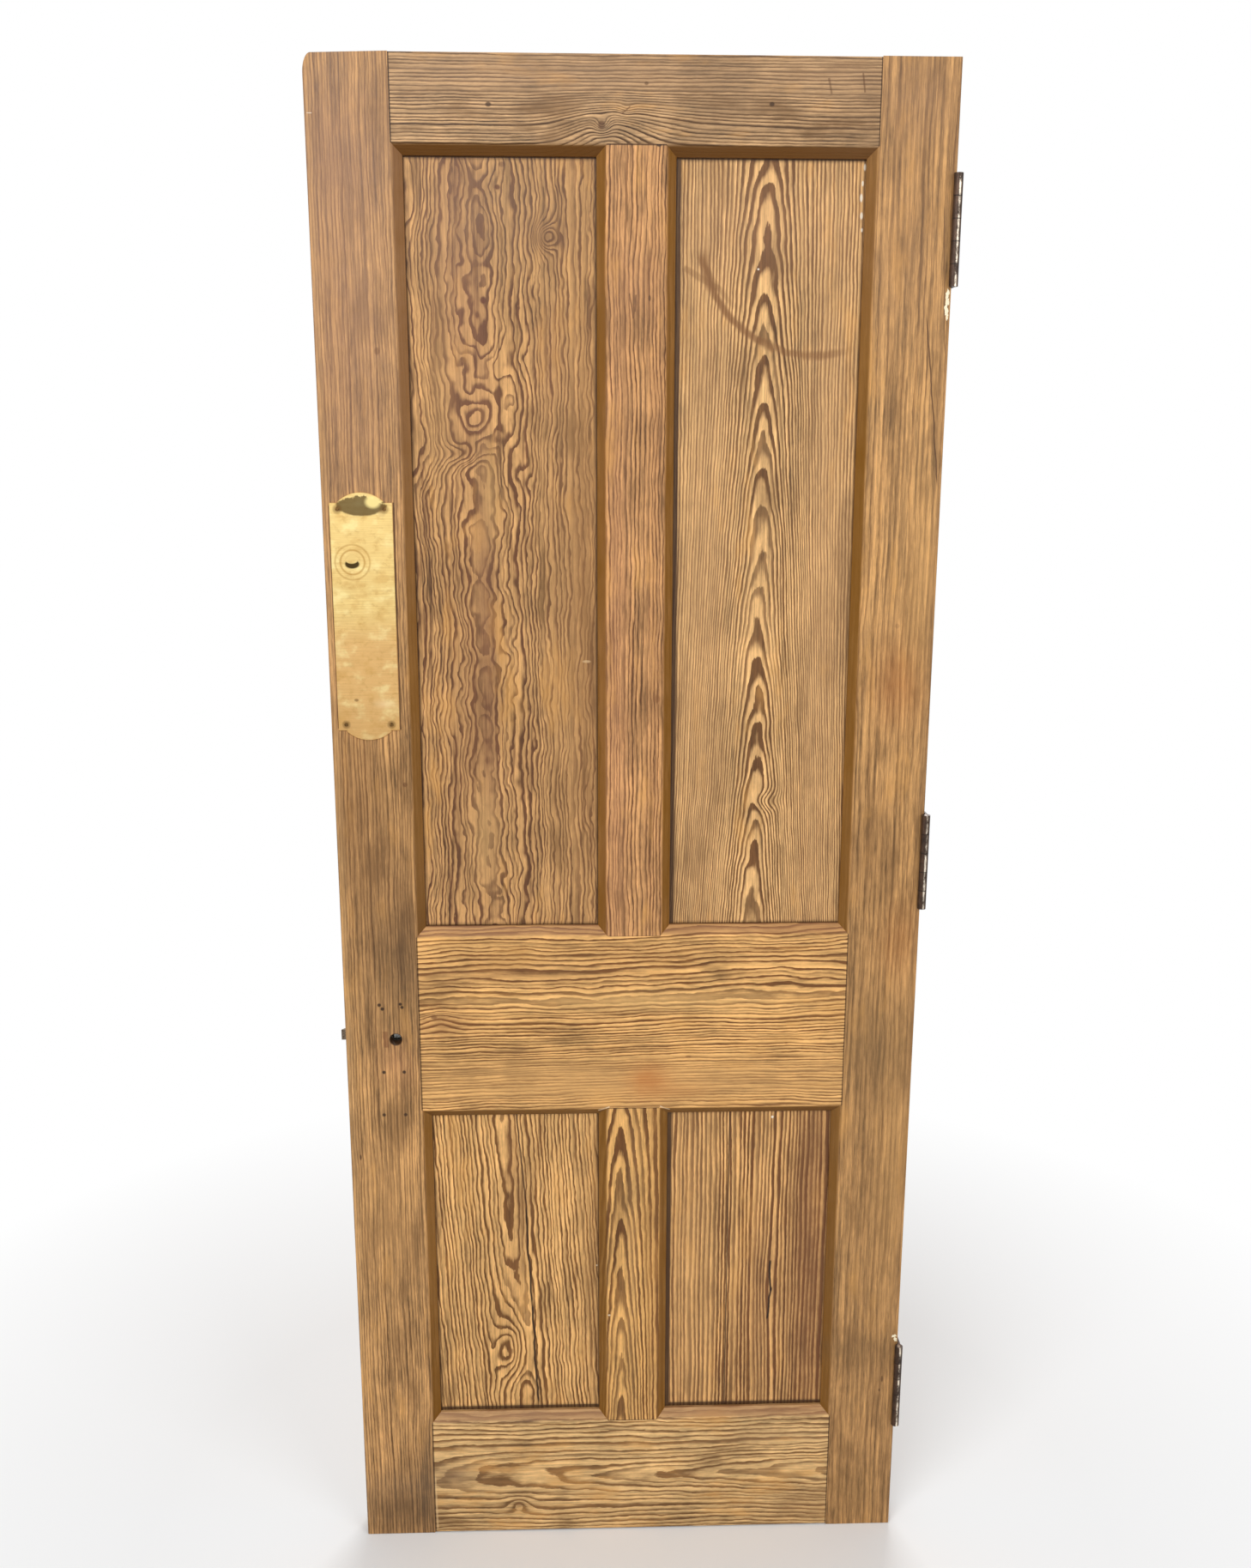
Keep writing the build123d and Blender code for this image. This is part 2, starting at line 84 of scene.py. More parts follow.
def make_piece(name, points, faces, material, smooth=True):
    """A mesh object at the origin from arrays of points and four-cornered faces."""
    mesh = bpy.data.meshes.new(name)
    mesh.vertices.add(len(points))
    mesh.vertices.foreach_set("co", np.asarray(points, dtype=np.float32).ravel())
    mesh.loops.add(faces.size)
    mesh.loops.foreach_set("vertex_index", faces.astype(np.int32).ravel())
    mesh.polygons.add(len(faces))
    mesh.polygons.foreach_set("loop_start", np.arange(0, faces.size, faces.shape[1]))
    mesh.polygons.foreach_set("use_smooth", np.full(len(faces), smooth))
    mesh.update(calc_edges=True)
    mesh.validate()
    mesh.materials.append(material)
    piece = bpy.data.objects.new(name, mesh)
    bpy.context.collection.objects.link(piece)
    return piece


def linear(red, green, blue):
    """The linear colour of a screen colour in 0 to 255: near black the value over 12.92, above
    that the power 2.4 of the value raised by 0.055 and scaled back."""
    c = np.array([red, green, blue]) / 255.0
    c = np.where(c <= 0.04045, c / 12.92, ((c + 0.055) / 1.055) ** 2.4)
    return (*c.tolist(), 1.0)


def blank_material(name):
    """A node material with only its output left in it."""
    material = bpy.data.materials.new(name)
    material.use_nodes = True
    tree = material.node_tree
    tree.nodes.clear()
    output = tree.nodes.new("ShaderNodeOutputMaterial")
    return material, tree, output


# in metres: half the floor's side, its drop below the door's foot, and how far out its own
# grey starts and ends turning white for the camera
floor_half, floor_drop = 6.0, 0.0006
white_from, white_by = 0.7, 1.5
floor_grey = (0.9, 0.9, 0.9, 1)
floor_material, tree, output = blank_material("pale_floor")
floor_place = tree.nodes.new("ShaderNodeTexCoord")
floor_reach = tree.nodes.new("ShaderNodeVectorMath")
floor_reach.operation = "LENGTH"
floor_edge = tree.nodes.new("ShaderNodeMapRange")
floor_edge.inputs["From Min"].default_value = white_from
floor_edge.inputs["From Max"].default_value = white_by
floor_seen = tree.nodes.new("ShaderNodeLightPath")
floor_share = tree.nodes.new("ShaderNodeMath")
floor_share.operation = "MULTIPLY"
floor_paint = tree.nodes.new("ShaderNodeBsdfDiffuse")
floor_paint.inputs["Color"].default_value = floor_grey
floor_white = tree.nodes.new("ShaderNodeEmission")
floor_mix = tree.nodes.new("ShaderNodeMixShader")
tree.links.new(floor_place.outputs["Object"], floor_reach.inputs[0])
tree.links.new(floor_reach.outputs["Value"], floor_edge.inputs["Value"])
tree.links.new(floor_edge.outputs["Result"], floor_share.inputs[0])
tree.links.new(floor_seen.outputs["Is Camera Ray"], floor_share.inputs[1])
tree.links.new(floor_share.outputs[0], floor_mix.inputs["Fac"])
tree.links.new(floor_paint.outputs[0], floor_mix.inputs[1])
tree.links.new(floor_white.outputs[0], floor_mix.inputs[2])
tree.links.new(floor_mix.outputs[0], output.inputs["Surface"])
floor_lines = np.linspace(-floor_half, floor_half, 13)
points, faces = sheet_grid(floor_lines, floor_lines, lambda u, v: (u, v, 0 * u - floor_drop))
make_piece("floor", points, faces, floor_material, smooth=False)

# the sky lights the door softly, and is pure white where it is seen or mirrored
sky_light, sky_look = 0.42, 1.0
world = bpy.data.worlds.new("sky")
bpy.context.scene.world = world
world.use_nodes = True
tree = world.node_tree
sky = tree.nodes["Background"]
sky.inputs["Color"].default_value = (1.0, 1.0, 1.0, 1)
sky_seen = tree.nodes.new("ShaderNodeLightPath")
sky_any = tree.nodes.new("ShaderNodeMath")
sky_any.operation = "MAXIMUM"
sky_rays = tree.nodes.new("ShaderNodeMath")
sky_rays.operation = "MAXIMUM"
sky_strength = tree.nodes.new("ShaderNodeMapRange")
sky_strength.inputs["To Min"].default_value = sky_light
sky_strength.inputs["To Max"].default_value = sky_look
tree.links.new(sky_seen.outputs["Is Camera Ray"], sky_any.inputs[0])
tree.links.new(sky_seen.outputs["Is Glossy Ray"], sky_any.inputs[1])
tree.links.new(sky_any.outputs[0], sky_rays.inputs[0])
tree.links.new(sky_seen.outputs["Is Transmission Ray"], sky_rays.inputs[1])
tree.links.new(sky_rays.outputs[0], sky_strength.inputs["Value"])
tree.links.new(sky_strength.outputs["Result"], sky.inputs["Strength"])


def soft_lamp(name, place, aim, size, power):
    """A square lamp at place that faces the point aim: its axes are the unit line away from
    aim, the level line across it, and the product of the two."""
    lamp = bpy.data.lights.new(name, "AREA")
    lamp.size = size
    lamp.energy = power
    holder = bpy.data.objects.new(name, lamp)
    bpy.context.collection.objects.link(holder)
    away = np.array(place, float) - np.array(aim, float)
    away /= np.linalg.norm(away)
    side = np.cross((0.0, 0.0, 1.0), away)
    side /= np.linalg.norm(side)
    top = np.cross(away, side)
    holder.matrix_world = Matrix([
        (side[k], top[k], away[k], place[k]) for k in range(3)
    ] + [(0, 0, 0, 1)])


soft_lamp("lamp_above_left", (-1.3, -2.6, 3.2), (0, 0, 1.0), 1.9, 66.0)
soft_lamp("lamp_right", (1.9, -2.4, 1.9), (0, 0, 0.9), 1.6, 24.0)
soft_lamp("lamp_behind", (0.4, 2.8, 2.6), (0, 0, 1.0), 1.8, 60.0)


# Timber of the frame and the panels
# Old resinous pine, stripped and waxed: the rings of each board are worked out from where its
# heart lay, so the same rings run round its face, edges and ends.
class Field:
    """A number worked out by the shader at each point; arithmetic signs make Math nodes."""

    def __init__(self, tree, socket):
        self.tree = tree
        self.socket = socket

    def _with(self, operation, *others):
        node = self.tree.nodes.new("ShaderNodeMath")
        node.operation = operation
        for slot, value in enumerate((self, *others)):
            if isinstance(value, Field):
                self.tree.links.new(value.socket, node.inputs[slot])
            else:
                node.inputs[slot].default_value = float(value)
        return Field(self.tree, node.outputs[0])

    def __add__(self, other):
        return self._with("ADD", other)

    __radd__ = __add__

    def __sub__(self, other):
        return self._with("SUBTRACT", other)

    def __rsub__(self, other):
        return self._with("MULTIPLY_ADD", -1.0, other)

    def __mul__(self, other):
        return self._with("MULTIPLY", other)

    __rmul__ = __mul__

    def __truediv__(self, other):
        return self._with("DIVIDE", other)

    def root(self):
        return self._with("SQRT")

    def size(self):
        return self._with("ABSOLUTE")

    def part(self):
        return self._with("FRACT")

    def whole(self):
        return self._with("FLOOR")

    def wave(self):
        return self._with("SINE")

    def least(self, other):
        return self._with("MINIMUM", other)

    def most(self, other):
        return self._with("MAXIMUM", other)

    def fade(self):
        """One at zero, falling off as a bell: e to minus the number."""
        return (self * -1.0)._with("EXPONENT")

    def rise(self, low, high):
        """Nought up to low, one from high, smooth between; it falls where low is the greater."""
        node = self.tree.nodes.new("ShaderNodeMapRange")
        node.interpolation_type = "SMOOTHSTEP"
        self.tree.links.new(self.socket, node.inputs["Value"])
        turned = low > high
        node.inputs["From Min"].default_value = high if turned else low
        node.inputs["From Max"].default_value = low if turned else high
        node.inputs["To Min"].default_value = 1.0 if turned else 0.0
        node.inputs["To Max"].default_value = 0.0 if turned else 1.0
        return Field(self.tree, node.outputs["Result"])


leaf_wide, leaf_high, leaf_thick = 762.0, 1981.0, 44.0  # millimetres


def door_place(tree):
    """Millimetres from the door's left edge, down from its top and in from its face."""
    place = tree.nodes.new("ShaderNodeTexCoord")
    place.name = "facing"
    split = tree.nodes.new("ShaderNodeSeparateXYZ")
    tree.links.new(place.outputs["Object"], split.inputs[0])
    x, y, z = (Field(tree, split.outputs[k]) for k in range(3))
    return x * 1000.0 + leaf_wide / 2, leaf_high - z * 1000.0, y * 1000.0 + leaf_thick / 2


def cloud(tree, across, down, inward, detail=2.0, rough=0.5, seed=0.0):
    """Smooth chance variation, about -1 to 1, over three numbers."""
    join = tree.nodes.new("ShaderNodeCombineXYZ")
    for slot, value in enumerate((across, down, inward)):
        if isinstance(value, Field):
            tree.links.new(value.socket, join.inputs[slot])
        else:
            join.inputs[slot].default_value = value
    node = tree.nodes.new("ShaderNodeTexNoise")
    node.noise_dimensions = "4D"
    node.inputs["W"].default_value = seed
    node.inputs["Scale"].default_value = 1.0
    node.inputs["Detail"].default_value = detail
    node.inputs["Roughness"].default_value = rough
    tree.links.new(join.outputs[0], node.inputs["Vector"])
    return Field(tree, node.outputs["Fac"]) * 2.6 - 1.3


def chance(value):
    """A fixed chance number from 0 to 1 for each whole value."""
    node = value.tree.nodes.new("ShaderNodeTexWhiteNoise")
    node.noise_dimensions = "1D"
    value.tree.links.new(value.socket, node.inputs["W"])
    return Field(value.tree, node.outputs["Value"])


def tint(tree, share, first, second, way="MIX"):
    """Colour first turned into colour second by share; each may be a socket or a colour."""
    node = tree.nodes.new("ShaderNodeMix")
    node.data_type = "RGBA"
    node.blend_type = way
    for name, value in (("Factor", share), ("A", first), ("B", second)):
        slot = [s for s in node.inputs if s.name == name and s.enabled][0]
        if isinstance(value, Field):
            tree.links.new(value.socket, slot)
        elif isinstance(value, bpy.types.NodeSocket):
            tree.links.new(value, slot)
        else:
            slot.default_value = value
    return [s for s in node.outputs if s.enabled][0]


def raise_skin(skin, height, strength, depth):
    """Let a height field, counted in parts of depth, bump a surface."""
    tree = height.tree
    lift = tree.nodes.new("ShaderNodeBump")
    lift.inputs["Strength"].default_value = strength
    lift.inputs["Distance"].default_value = depth
    tree.links.new(height.socket, lift.inputs["Height"])
    tree.links.new(lift.outputs[0], skin.inputs["Normal"])


def distance(X, Z, at):
    """How far a point of the face is from the point at: the root of the summed squares."""
    return ((X - at[0]) * (X - at[0]) + (Z - at[1]) * (Z - at[1])).root()


def spot(X, Z, at, reach, soft=0.35):
    """One within an oval of the two reaches, nought outside it, with a rim soft by its share."""
    far = (((X - at[0]) / reach[0]) * ((X - at[0]) / reach[0])
           + ((Z - at[1]) / reach[1]) * ((Z - at[1]) / reach[1])).root()
    return far.rise(1.0 + soft, 1.0 - soft)


def bell(X, Z, at, reach):
    """A rise centred on a point: e to minus the squared distance, counted in the two reaches."""
    u = (X - at[0]) / reach[0]
    v = (Z - at[1]) / reach[1]
    return (u * u + v * v).fade()


def streak(X, Z, start, end, wide, waver):
    """One along the line between two points, nought where the distance to it passes wide."""
    run = (end[0] - start[0], end[1] - start[1])
    long = math.hypot(*run)
    along = ((X - start[0]) * (run[0] / long) + (Z - start[1]) * (run[1] / long)) / long
    off = (X - start[0]) * (-run[1] / long) + (Z - start[1]) * (run[0] / long) + waver
    ends = along.rise(-0.02, 0.06) * along.rise(1.02, 0.94)
    return off.size().rise(wide, wide * 0.35) * ends


def bent_mark(X, Z, at, radius, wide, top, side):
    """Part of a rubbed circle, with a rim that wavers: it fades in below top and out at side."""
    far = distance(X, Z, at) - radius
    far = far + cloud(X.tree, X / 22.0, Z / 22.0, 0.0, 3.0, 0.6, seed=radius) * (wide * 0.6)
    line = far.size().rise(wide, wide * 0.2) * Z.rise(top, top + 16.0)
    return line * X.rise(side, side - 46.0)


def draw_mark(mark, colour, X, Z, along):
    """The colour with one mark over it. A mark is its kind, the facts of its form, its strength
    and its shade."""
    tree = X.tree
    kind, *facts, strength, shade = mark
    if kind == "spot":
        share = spot(X, Z, *facts)
    elif kind == "ring":
        share = bent_mark(X, Z, *facts)
    else:
        start, end, wide = facts
        waver = cloud(tree, along / 26.0, 0.3, start[0] * 0.01, 2.0, 0.5) * (wide * 1.2)
        share = streak(X, Z, start, end, wide, waver)
    return tint(tree, share * strength, colour, linear(*shade))


def stains_and_bevel_shade(colour, X, Z, Y, along, across, tone, mottle):
    """The colour with darker and paler stains along the grain, which years of hands and wax
    leave, and with painted shade in the bevels round the panels by which way each side of
    them faces: on the sides, more on those facing down, and painted light on those facing up."""
    tree = X.tree
    facing = tree.nodes.new("ShaderNodeSeparateXYZ")
    tree.links.new(tree.nodes["facing"].outputs["Normal"], facing.inputs[0])
    upward = Field(tree, facing.outputs["Z"])
    bevel = Y.rise(0.3, 3.0) * Y.rise(13.8, 12.6)
    stain = cloud(tree, along / 105.0, across / 26.0, Y / 30.0, 4.0, 0.58, seed=12.5) * 1.75
    dark_share, pale_share = min(0.7, 0.4 * mottle), min(0.6, 0.32 * mottle)
    # painted shade on the bevels that face sideways and down, painted light on those facing up
    side_bevel_shade = bevel * (0.9 + tone * 0.14) * upward.rise(0.45, 0.1)
    for share, shade in (
        (stain.rise(0.04, 0.9) * dark_share, (108, 76, 42)),
        (stain.rise(-0.12, -0.9) * pale_share, (218, 160, 88)),
        (side_bevel_shade, (121, 77, 2)),
        (bevel * upward.rise(-0.1, -0.45) * 0.8, (93, 54, 0)),
        (bevel * upward.rise(0.1, 0.45) * 0.62, (156, 110, 72)),
    ):
        colour = tint(tree, share, colour, linear(*shade))
    return colour


def timber(name, upright, rings, pale, dark, depth_of_ring=0.7, edges=(), patches=(), marks=(),
           fibre=0.34, late=(0.5, 0.86), wax=(1.04, 1.0, 0.86), uneven=0.5, smoky=0.25,
           mottle=1.2):
    """Waxed pine. rings(X, Z, Y, along, across, tree) gives how many rings lie to each point:
    the part after the whole number tells early wood from late wood, which lies between the two
    shares in late, and the whole number gives each year its own strength. Pale and dark are
    the screen colours of the two, wax the share of each light that the whole board sends back.
    uneven varies the rings' spacing, fibre, smoky and mottle the tone from finest to coarsest.
    Edges are fields of dirt in joints and of painted shade, darkening to one brown; a patch is
    a place, two reaches, a strength and a shade."""
    material, tree, output = blank_material(name)
    X, Z, Y = door_place(tree)
    along, across = (Z, X) if upright else (X, Z)

    # rings: early wood pales into late wood, with smoky bands along the grain
    ragged = cloud(tree, along / 11.0, across / 1.6, Y / 1.6, 2.0, 0.6, seed=6.2)
    count = rings(X, Z, Y, along, across, tree) + ragged * 0.11
    count = count + cloud(tree, count / 3.1, 0.0, 0.0, 1.0, 0.5, seed=4.4) * uneven
    share = count.part()
    year = chance(count.whole())
    thick = cloud(tree, along / 70.0, across / 12.0, Y / 12.0, 2.0, 0.6, seed=8.8) * 0.3
    late_wood = (share + thick).rise(late[0], late[1]) * share.rise(1.0, 0.94)
    blush = share.rise(0.1, 0.8) * 0.22
    smoke = cloud(tree, along / 160.0, across / 8.0, Y / 9.0, 3.0, 0.55, seed=9.9) * 1.7
    band = (late_wood * (year * 0.7 + 0.5) + blush) * depth_of_ring
    band = band + smoke.rise(0.15, 0.95) * smoky - smoke.rise(-0.2, -0.9) * (smoky * 0.5)
    bright = tuple(min(1.0, v * 1.08) for v in linear(*pale))
    deep = tuple(v * 0.66 for v in linear(*dark)[:3]) + (1.0,)
    colour = tint(tree, band.least(1.0).most(0.0), bright, deep)

    # fine fibres along the grain, and slow changes of tone
    fine = cloud(tree, along / 24.0, across / 0.9, Y / 0.9, 3.0, 0.65, seed=3.1) * 1.6
    coarse = cloud(tree, along / 110.0, across / 3.6, Y / 3.6, 3.0, 0.55, seed=7.7) * 1.6
    tone = cloud(tree, X / 70.0, Z / 90.0, Y / 60.0, 4.0, 0.6, seed=1.3) * 1.6
    smear = cloud(tree, along / 22.0, across / 7.0, Y / 9.0, 4.0, 0.7, seed=2.3) * 1.8
    fibres = 1.0 + fine * fibre + coarse * (fibre * 1.1)
    fibres = fibres + tone * (0.2 * mottle) + smear * (0.12 * mottle)
    fibres = (fibres + year * 0.12).most(0.2)
    grey = tree.nodes.new("ShaderNodeCombineColor")
    for slot, share_of_light in enumerate(wax):
        tree.links.new((fibres * share_of_light).socket, grey.inputs[slot])
    colour = tint(tree, 1.0, colour, grey.outputs[0], "MULTIPLY")

    # resin pores: short dark dashes
    pore_near = cloud(tree, along / 7.0, across / 0.42, Y / 0.42, 0.0, 0.5, seed=5.0)
    pores = pore_near.rise(0.55, 0.9) * 0.42
    colour = tint(tree, pores, colour, linear(84, 50, 22))

    # what use has left on it, with painted shade and light in the panels' bevels
    colour = stains_and_bevel_shade(colour, X, Z, Y, along, across, tone, mottle)
    for at, reach, strength, shade in patches:
        rim = cloud(tree, X / 18.0, Z / 18.0, 0.0, 2.0, 0.6, seed=at[0]) * 0.35 + 1.0
        colour = tint(tree, bell(X, Z, at, reach) * rim * strength, colour, linear(*shade))
    for mark in marks:
        colour = draw_mark(mark, colour, X, Z, along)
    # edges: dirt in the joints, and painted shade round the panels, beside the finger plate and in
    # the spindle's hole
    for line in edges:
        colour = tint(tree, line(X, Z), colour, linear(58, 34, 16))

    # waxed surface: late wood stands up and shines a little more than early wood
    skin = tree.nodes.new("ShaderNodeBsdfPrincipled")
    skin.inputs["IOR"].default_value = 1.45
    skin.inputs["Specular IOR Level"].default_value = 0.32
    tree.links.new(colour, skin.inputs["Base Color"])
    dullness = 0.46 + tone * 0.05 + fine * 0.05 - band * 0.06
    tree.links.new(dullness.socket, skin.inputs["Roughness"])
    height = fine * 0.28 + band * 0.55 - pores * 0.9 + tone * 0.25
    raise_skin(skin, height, 0.5, 0.0004)
    tree.links.new(skin.outputs[0], output.inputs["Surface"])
    return material


def holes(places, radius, strength, shade):
    """Marks for round holes of one radius."""
    return [("spot", at, (radius, radius), strength, shade) for at in places]


def dark_edge_line(edge, upright=True, wide=0.7, span=None):
    """A dark line along an edge, full on it and gone at wide from it: dirt where two boards
    meet, and painted shadow beside the finger plate's long edges.
    """
    def line(X, Z):
        here, other = (X, Z) if upright else (Z, X)
        dark = (here - edge).size().rise(wide, wide * 0.3) * 0.85
        if span:
            dark = dark * other.rise(span[0] - 1, span[0]) * other.rise(span[1] + 1, span[1])
        return dark
    return line


def bore_shade(at, radius):
    """Painted shade on the wall of a drilled hole and on its rim, gone 1.4 mm outside it."""
    def line(X, Z):
        return distance(X, Z, at).rise(radius + 1.4, radius + 0.3) * 0.85
    return line


def panel_rim(across, down):
    """Painted shade and dirt where a panel enters its grooves, by the distance to the nearest of
    its four rims.
    """
    left, right = across
    top, bottom = down

    def line(X, Z):
        near = (X - left).least(right - X).least(Z - top).least(bottom - Z)
        return near.rise(5.0, -0.5) * 0.5 + near.rise(1.2, 0.2) * 0.4
    return line


def wander(tree, along, across, Y, amount, run, wide, seed):
    """A slow sideways wander of the grain: amount times noise, long in its run, wide across."""
    return cloud(tree, along / run, across / wide, Y / wide, 2.0, 0.5, seed=seed) * amount


def straight_rings(heart, spacing, drift=2.5, seed=0.0, deep=30.0, run=210.0):
    """Rings about a heart far to one side, nearly straight on the face: the distance from the
    heart, which lies deep behind the face, over the spacing of the rings."""
    def rings(X, Z, Y, along, across, tree):
        off = across - heart + wander(tree, along, across, Y, drift, run, 60.0, seed)
        off = off + wander(tree, along, across, Y, drift * 0.3, run * 0.22, 20.0, seed + 9)
        p = Y + deep
        return (off * off + p * p).root() / spacing
    return rings


def arched_rings(heart, spacing, climb, near, start, seed, hold=60.0, drift=2.0, knots=(),
                 ripple=1.5, run=110.0, lean=0.0, steps=None, spread=0.0):
    """Nested arches, from a heart near under the face: the distance from the heart, plus a climb
    along the board that is full over the heart and falls off as a bell to hold at either side,
    over the spacing of the rings. Knots add bells of rings of their own."""
    def rings(X, Z, Y, along, across, tree):
        off = across - heart - (along - start) * lean
        off = off + wander(tree, along, across, Y, drift, run, 70.0, seed)
        off = off + wander(tree, along, across, Y, ripple, run * 0.2, 16.0, seed + 4)
        reach = off / ((along - start) * spread + hold)
        sides = (reach * reach).fade()
        p = near + Y * 0.5
        p = p + wander(tree, along, across, Y, near * 0.25, run * 0.4, 40.0, seed + 6)
        rise = (along - start) * climb
        step = ripple * 1.7 if steps is None else steps
        rise = rise + wander(tree, along, across, Y, step, run * 0.33, 46.0, seed + 2)
        count = ((off * off + p * p).root() + rise * sides) / spacing
        for at, reach, amount in knots:
            count = count + bell(X, Z, at, reach) * amount
        return count
    return rings


def hill_rings(base, hills):
    """Rings bent round knots: the base count plus a bell of rings for each hill."""
    def rings(X, Z, Y, along, across, tree):
        count = base(X, Z, Y, along, across, tree)
        for at, reach, amount in hills:
            count = count + bell(X, Z, at, reach) * amount
        return count
    return rings


# All places are in millimetres from the leaf's left edge and down from its top, and all
# colours are screen colours. Here: the sides of the panels' openings, and the spindle's hole.
left_panels, right_panels = (110, 336.5), (436, 657.5)
upper_panels, lower_panels = (110.5, 1056), (1318.5, 1783)
spindle_at = (66.5, 1211.0)

timbers = {}
timbers["lock_stile"] = timber(
    "lock_stile_pine", True, straight_rings(-130.0, 4.6, 5.0, 11.0),
    (190, 146, 102), (112, 74, 42), 0.66, fibre=0.55, uneven=0.9, smoky=0.4,
    wax=(0.89, 0.86, 0.70), mottle=1.4,
    # painted shadow beside the finger plate's long edges, then painted shade in the spindle's hole
    edges=[dark_edge_line(8.6, True, 0.9, (512, 788)), dark_edge_line(87.2, True, 1.1, (508, 790)),
           bore_shade(spindle_at, 8.0)],
    patches=[
        ((40, 250), (90, 330), 0.36, (178, 138, 112)),
        ((30, 110), (70, 80), 0.34, (134, 100, 84)),
        ((20, 320), (50, 190), 0.22, (142, 100, 76)),
        ((60, 1000), (70, 150), 0.4, (118, 84, 52)),
        ((78, 1105), (40, 66), 0.6, (84, 62, 40)),
        ((20, 880), (30, 110), 0.4, (132, 92, 54)),
        ((50, 1480), (50, 120), 0.3, (204, 154, 96)),
        ((60, 1180), (60, 60), 0.16, (120, 92, 60)),
        ((50, 1945), (95, 40), 0.55, (92, 68, 44)),
        ((88, 1890), (16, 90), 0.5, (74, 60, 46)),
        ((88, 60), (16, 50), 0.4, (104, 78, 60)),
        ((50, 1900), (70, 26), 0.2, (96, 84, 72)),
        ((66, 1245), (22, 34), 0.25, (196, 136, 96)),
        ((4, 1000), (6, 900), 0.35, (204, 160, 108)),
    ],
    marks=[
        ("streak", (3, 67), (9, 67), 0.7, 0.8, (226, 206, 184)),
        *holes(((46, 1162), (50, 1167.5)), 2.4, 0.9, (42, 24, 14)),
        *holes(((74, 1161), (76, 1165.5)), 2.2, 0.9, (42, 24, 14)),
        *holes(((49, 1258), (76, 1258)), 2.4, 0.9, (42, 24, 14)),
        *holes(((47, 1320), (76, 1320)), 2.4, 0.85, (48, 28, 16)),
        ("streak", (54.5, 1199), (54.5, 1223), 5.0, 0.55, (110, 62, 34)),
        ("streak", (36, 1640), (40, 1790), 0.8, 0.6, (82, 52, 28)),
        ("spot", (74, 330), (3.2, 4.2), 0.5, (104, 66, 42)),
        ("spot", (90, 862), (3.0, 3.0), 0.6, (96, 58, 32)),
        ("spot", (13, 1382), (1.2, 4.0), 0.8, (70, 40, 20)),
    ],
)
timbers["hinge_stile"] = timber(
    "hinge_stile_pine", True, straight_rings(980.0, 6.9, 6.0, 23.0, 40.0),
    (192, 148, 100), (120, 82, 46), 0.48, fibre=0.52, uneven=0.9, smoky=0.36,
    wax=(0.86, 0.82, 0.70), mottle=1.4,
    patches=[
        ((715, 1500), (70, 480), 0.3, (132, 96, 56)),
        ((720, 735), (30, 50), 0.4, (170, 100, 44)),
        ((700, 200), (50, 120), 0.28, (148, 110, 80)),
        ((742, 600), (24, 150), 0.35, (208, 158, 96)),
        ((700, 1215), (60, 80), 0.35, (108, 82, 50)),
        ((744, 1420), (24, 170), 0.32, (200, 152, 92)),
        ((690, 950), (30, 70), 0.3, (120, 84, 48)),
        ((715, 1260), (30, 60), 0.2, (120, 92, 58)),
        ((700, 1690), (60, 18), 0.38, (104, 76, 44)),
        ((735, 1080), (26, 50), 0.28, (178, 112, 54)),
        ((710, 40), (60, 60), 0.35, (158, 122, 94)),
        ((720, 1930), (60, 50), 0.25, (124, 92, 52)),
        ((758, 1000), (5, 900), 0.4, (120, 88, 56)),
    ],
    marks=[
        ("streak", (734, 286), (757, 486), 1.2, 0.85, (76, 46, 26)),
        ("streak", (748, 160), (758, 330), 0.9, 0.6, (92, 60, 36)),
        ("spot", (742, 1740), (1.6, 5.0), 0.7, (84, 52, 28)),
        ("spot", (739, 1758), (1.4, 2.4), 0.7, (84, 52, 28)),
        ("streak", (690, 1040), (697, 1100), 0.5, 0.5, (128, 84, 50)),
        ("spot", (715, 660), (3.0, 3.0), 0.35, (120, 82, 50)),
    ],
)
timbers["top_rail"] = timber(
    "top_rail_pine", False,
    hill_rings(straight_rings(-70.0, 4.0, 3.5, 31.0), [
        ((348, 84), (48, 30), 5.4), ((410, 70), (60, 24), 1.6), ((344, 77), (9, 9), -3.6),
        ((372, 60), (9, 9), -1.2),
    ]),
    (190, 154, 116), (98, 68, 42), 0.98, fibre=0.4, late=(0.4, 0.85), uneven=0.8,
    wax=(0.86, 0.83, 0.74), mottle=1.7,
    edges=[dark_edge_line(98.2, True, 1.5), dark_edge_line(668.4, True, 1.2)],
    patches=[
        ((300, 20), (260, 30), 0.45, (164, 130, 98)),
        ((500, 60), (50, 26), 0.4, (118, 92, 66)),
        ((660, 40), (60, 60), 0.3, (140, 108, 78)),
        ((600, 20), (80, 30), 0.2, (186, 152, 118)),
    ],
    marks=[
        ("spot", (212, 56), (3.4, 2.6), 0.85, (62, 38, 22)),
        ("spot", (541, 53), (3.0, 2.4), 0.85, (58, 36, 20)),
        ("spot", (343, 77), (4.2, 4.6), 0.7, (78, 46, 26)),
        ("spot", (395, 32), (2.4, 2.0), 0.6, (80, 52, 30)),
        ("streak", (366, 64), (376, 56), 1.2, 0.6, (96, 62, 38)),
        ("streak", (606, 24), (610, 42), 1.8, 0.55, (92, 62, 40)),
        ("streak", (646, 18), (649, 40), 1.4, 0.6, (92, 60, 36)),
        ("streak", (98, 12), (98.4, 92), 0.7, 0.8, (46, 28, 16)),
    ],
)
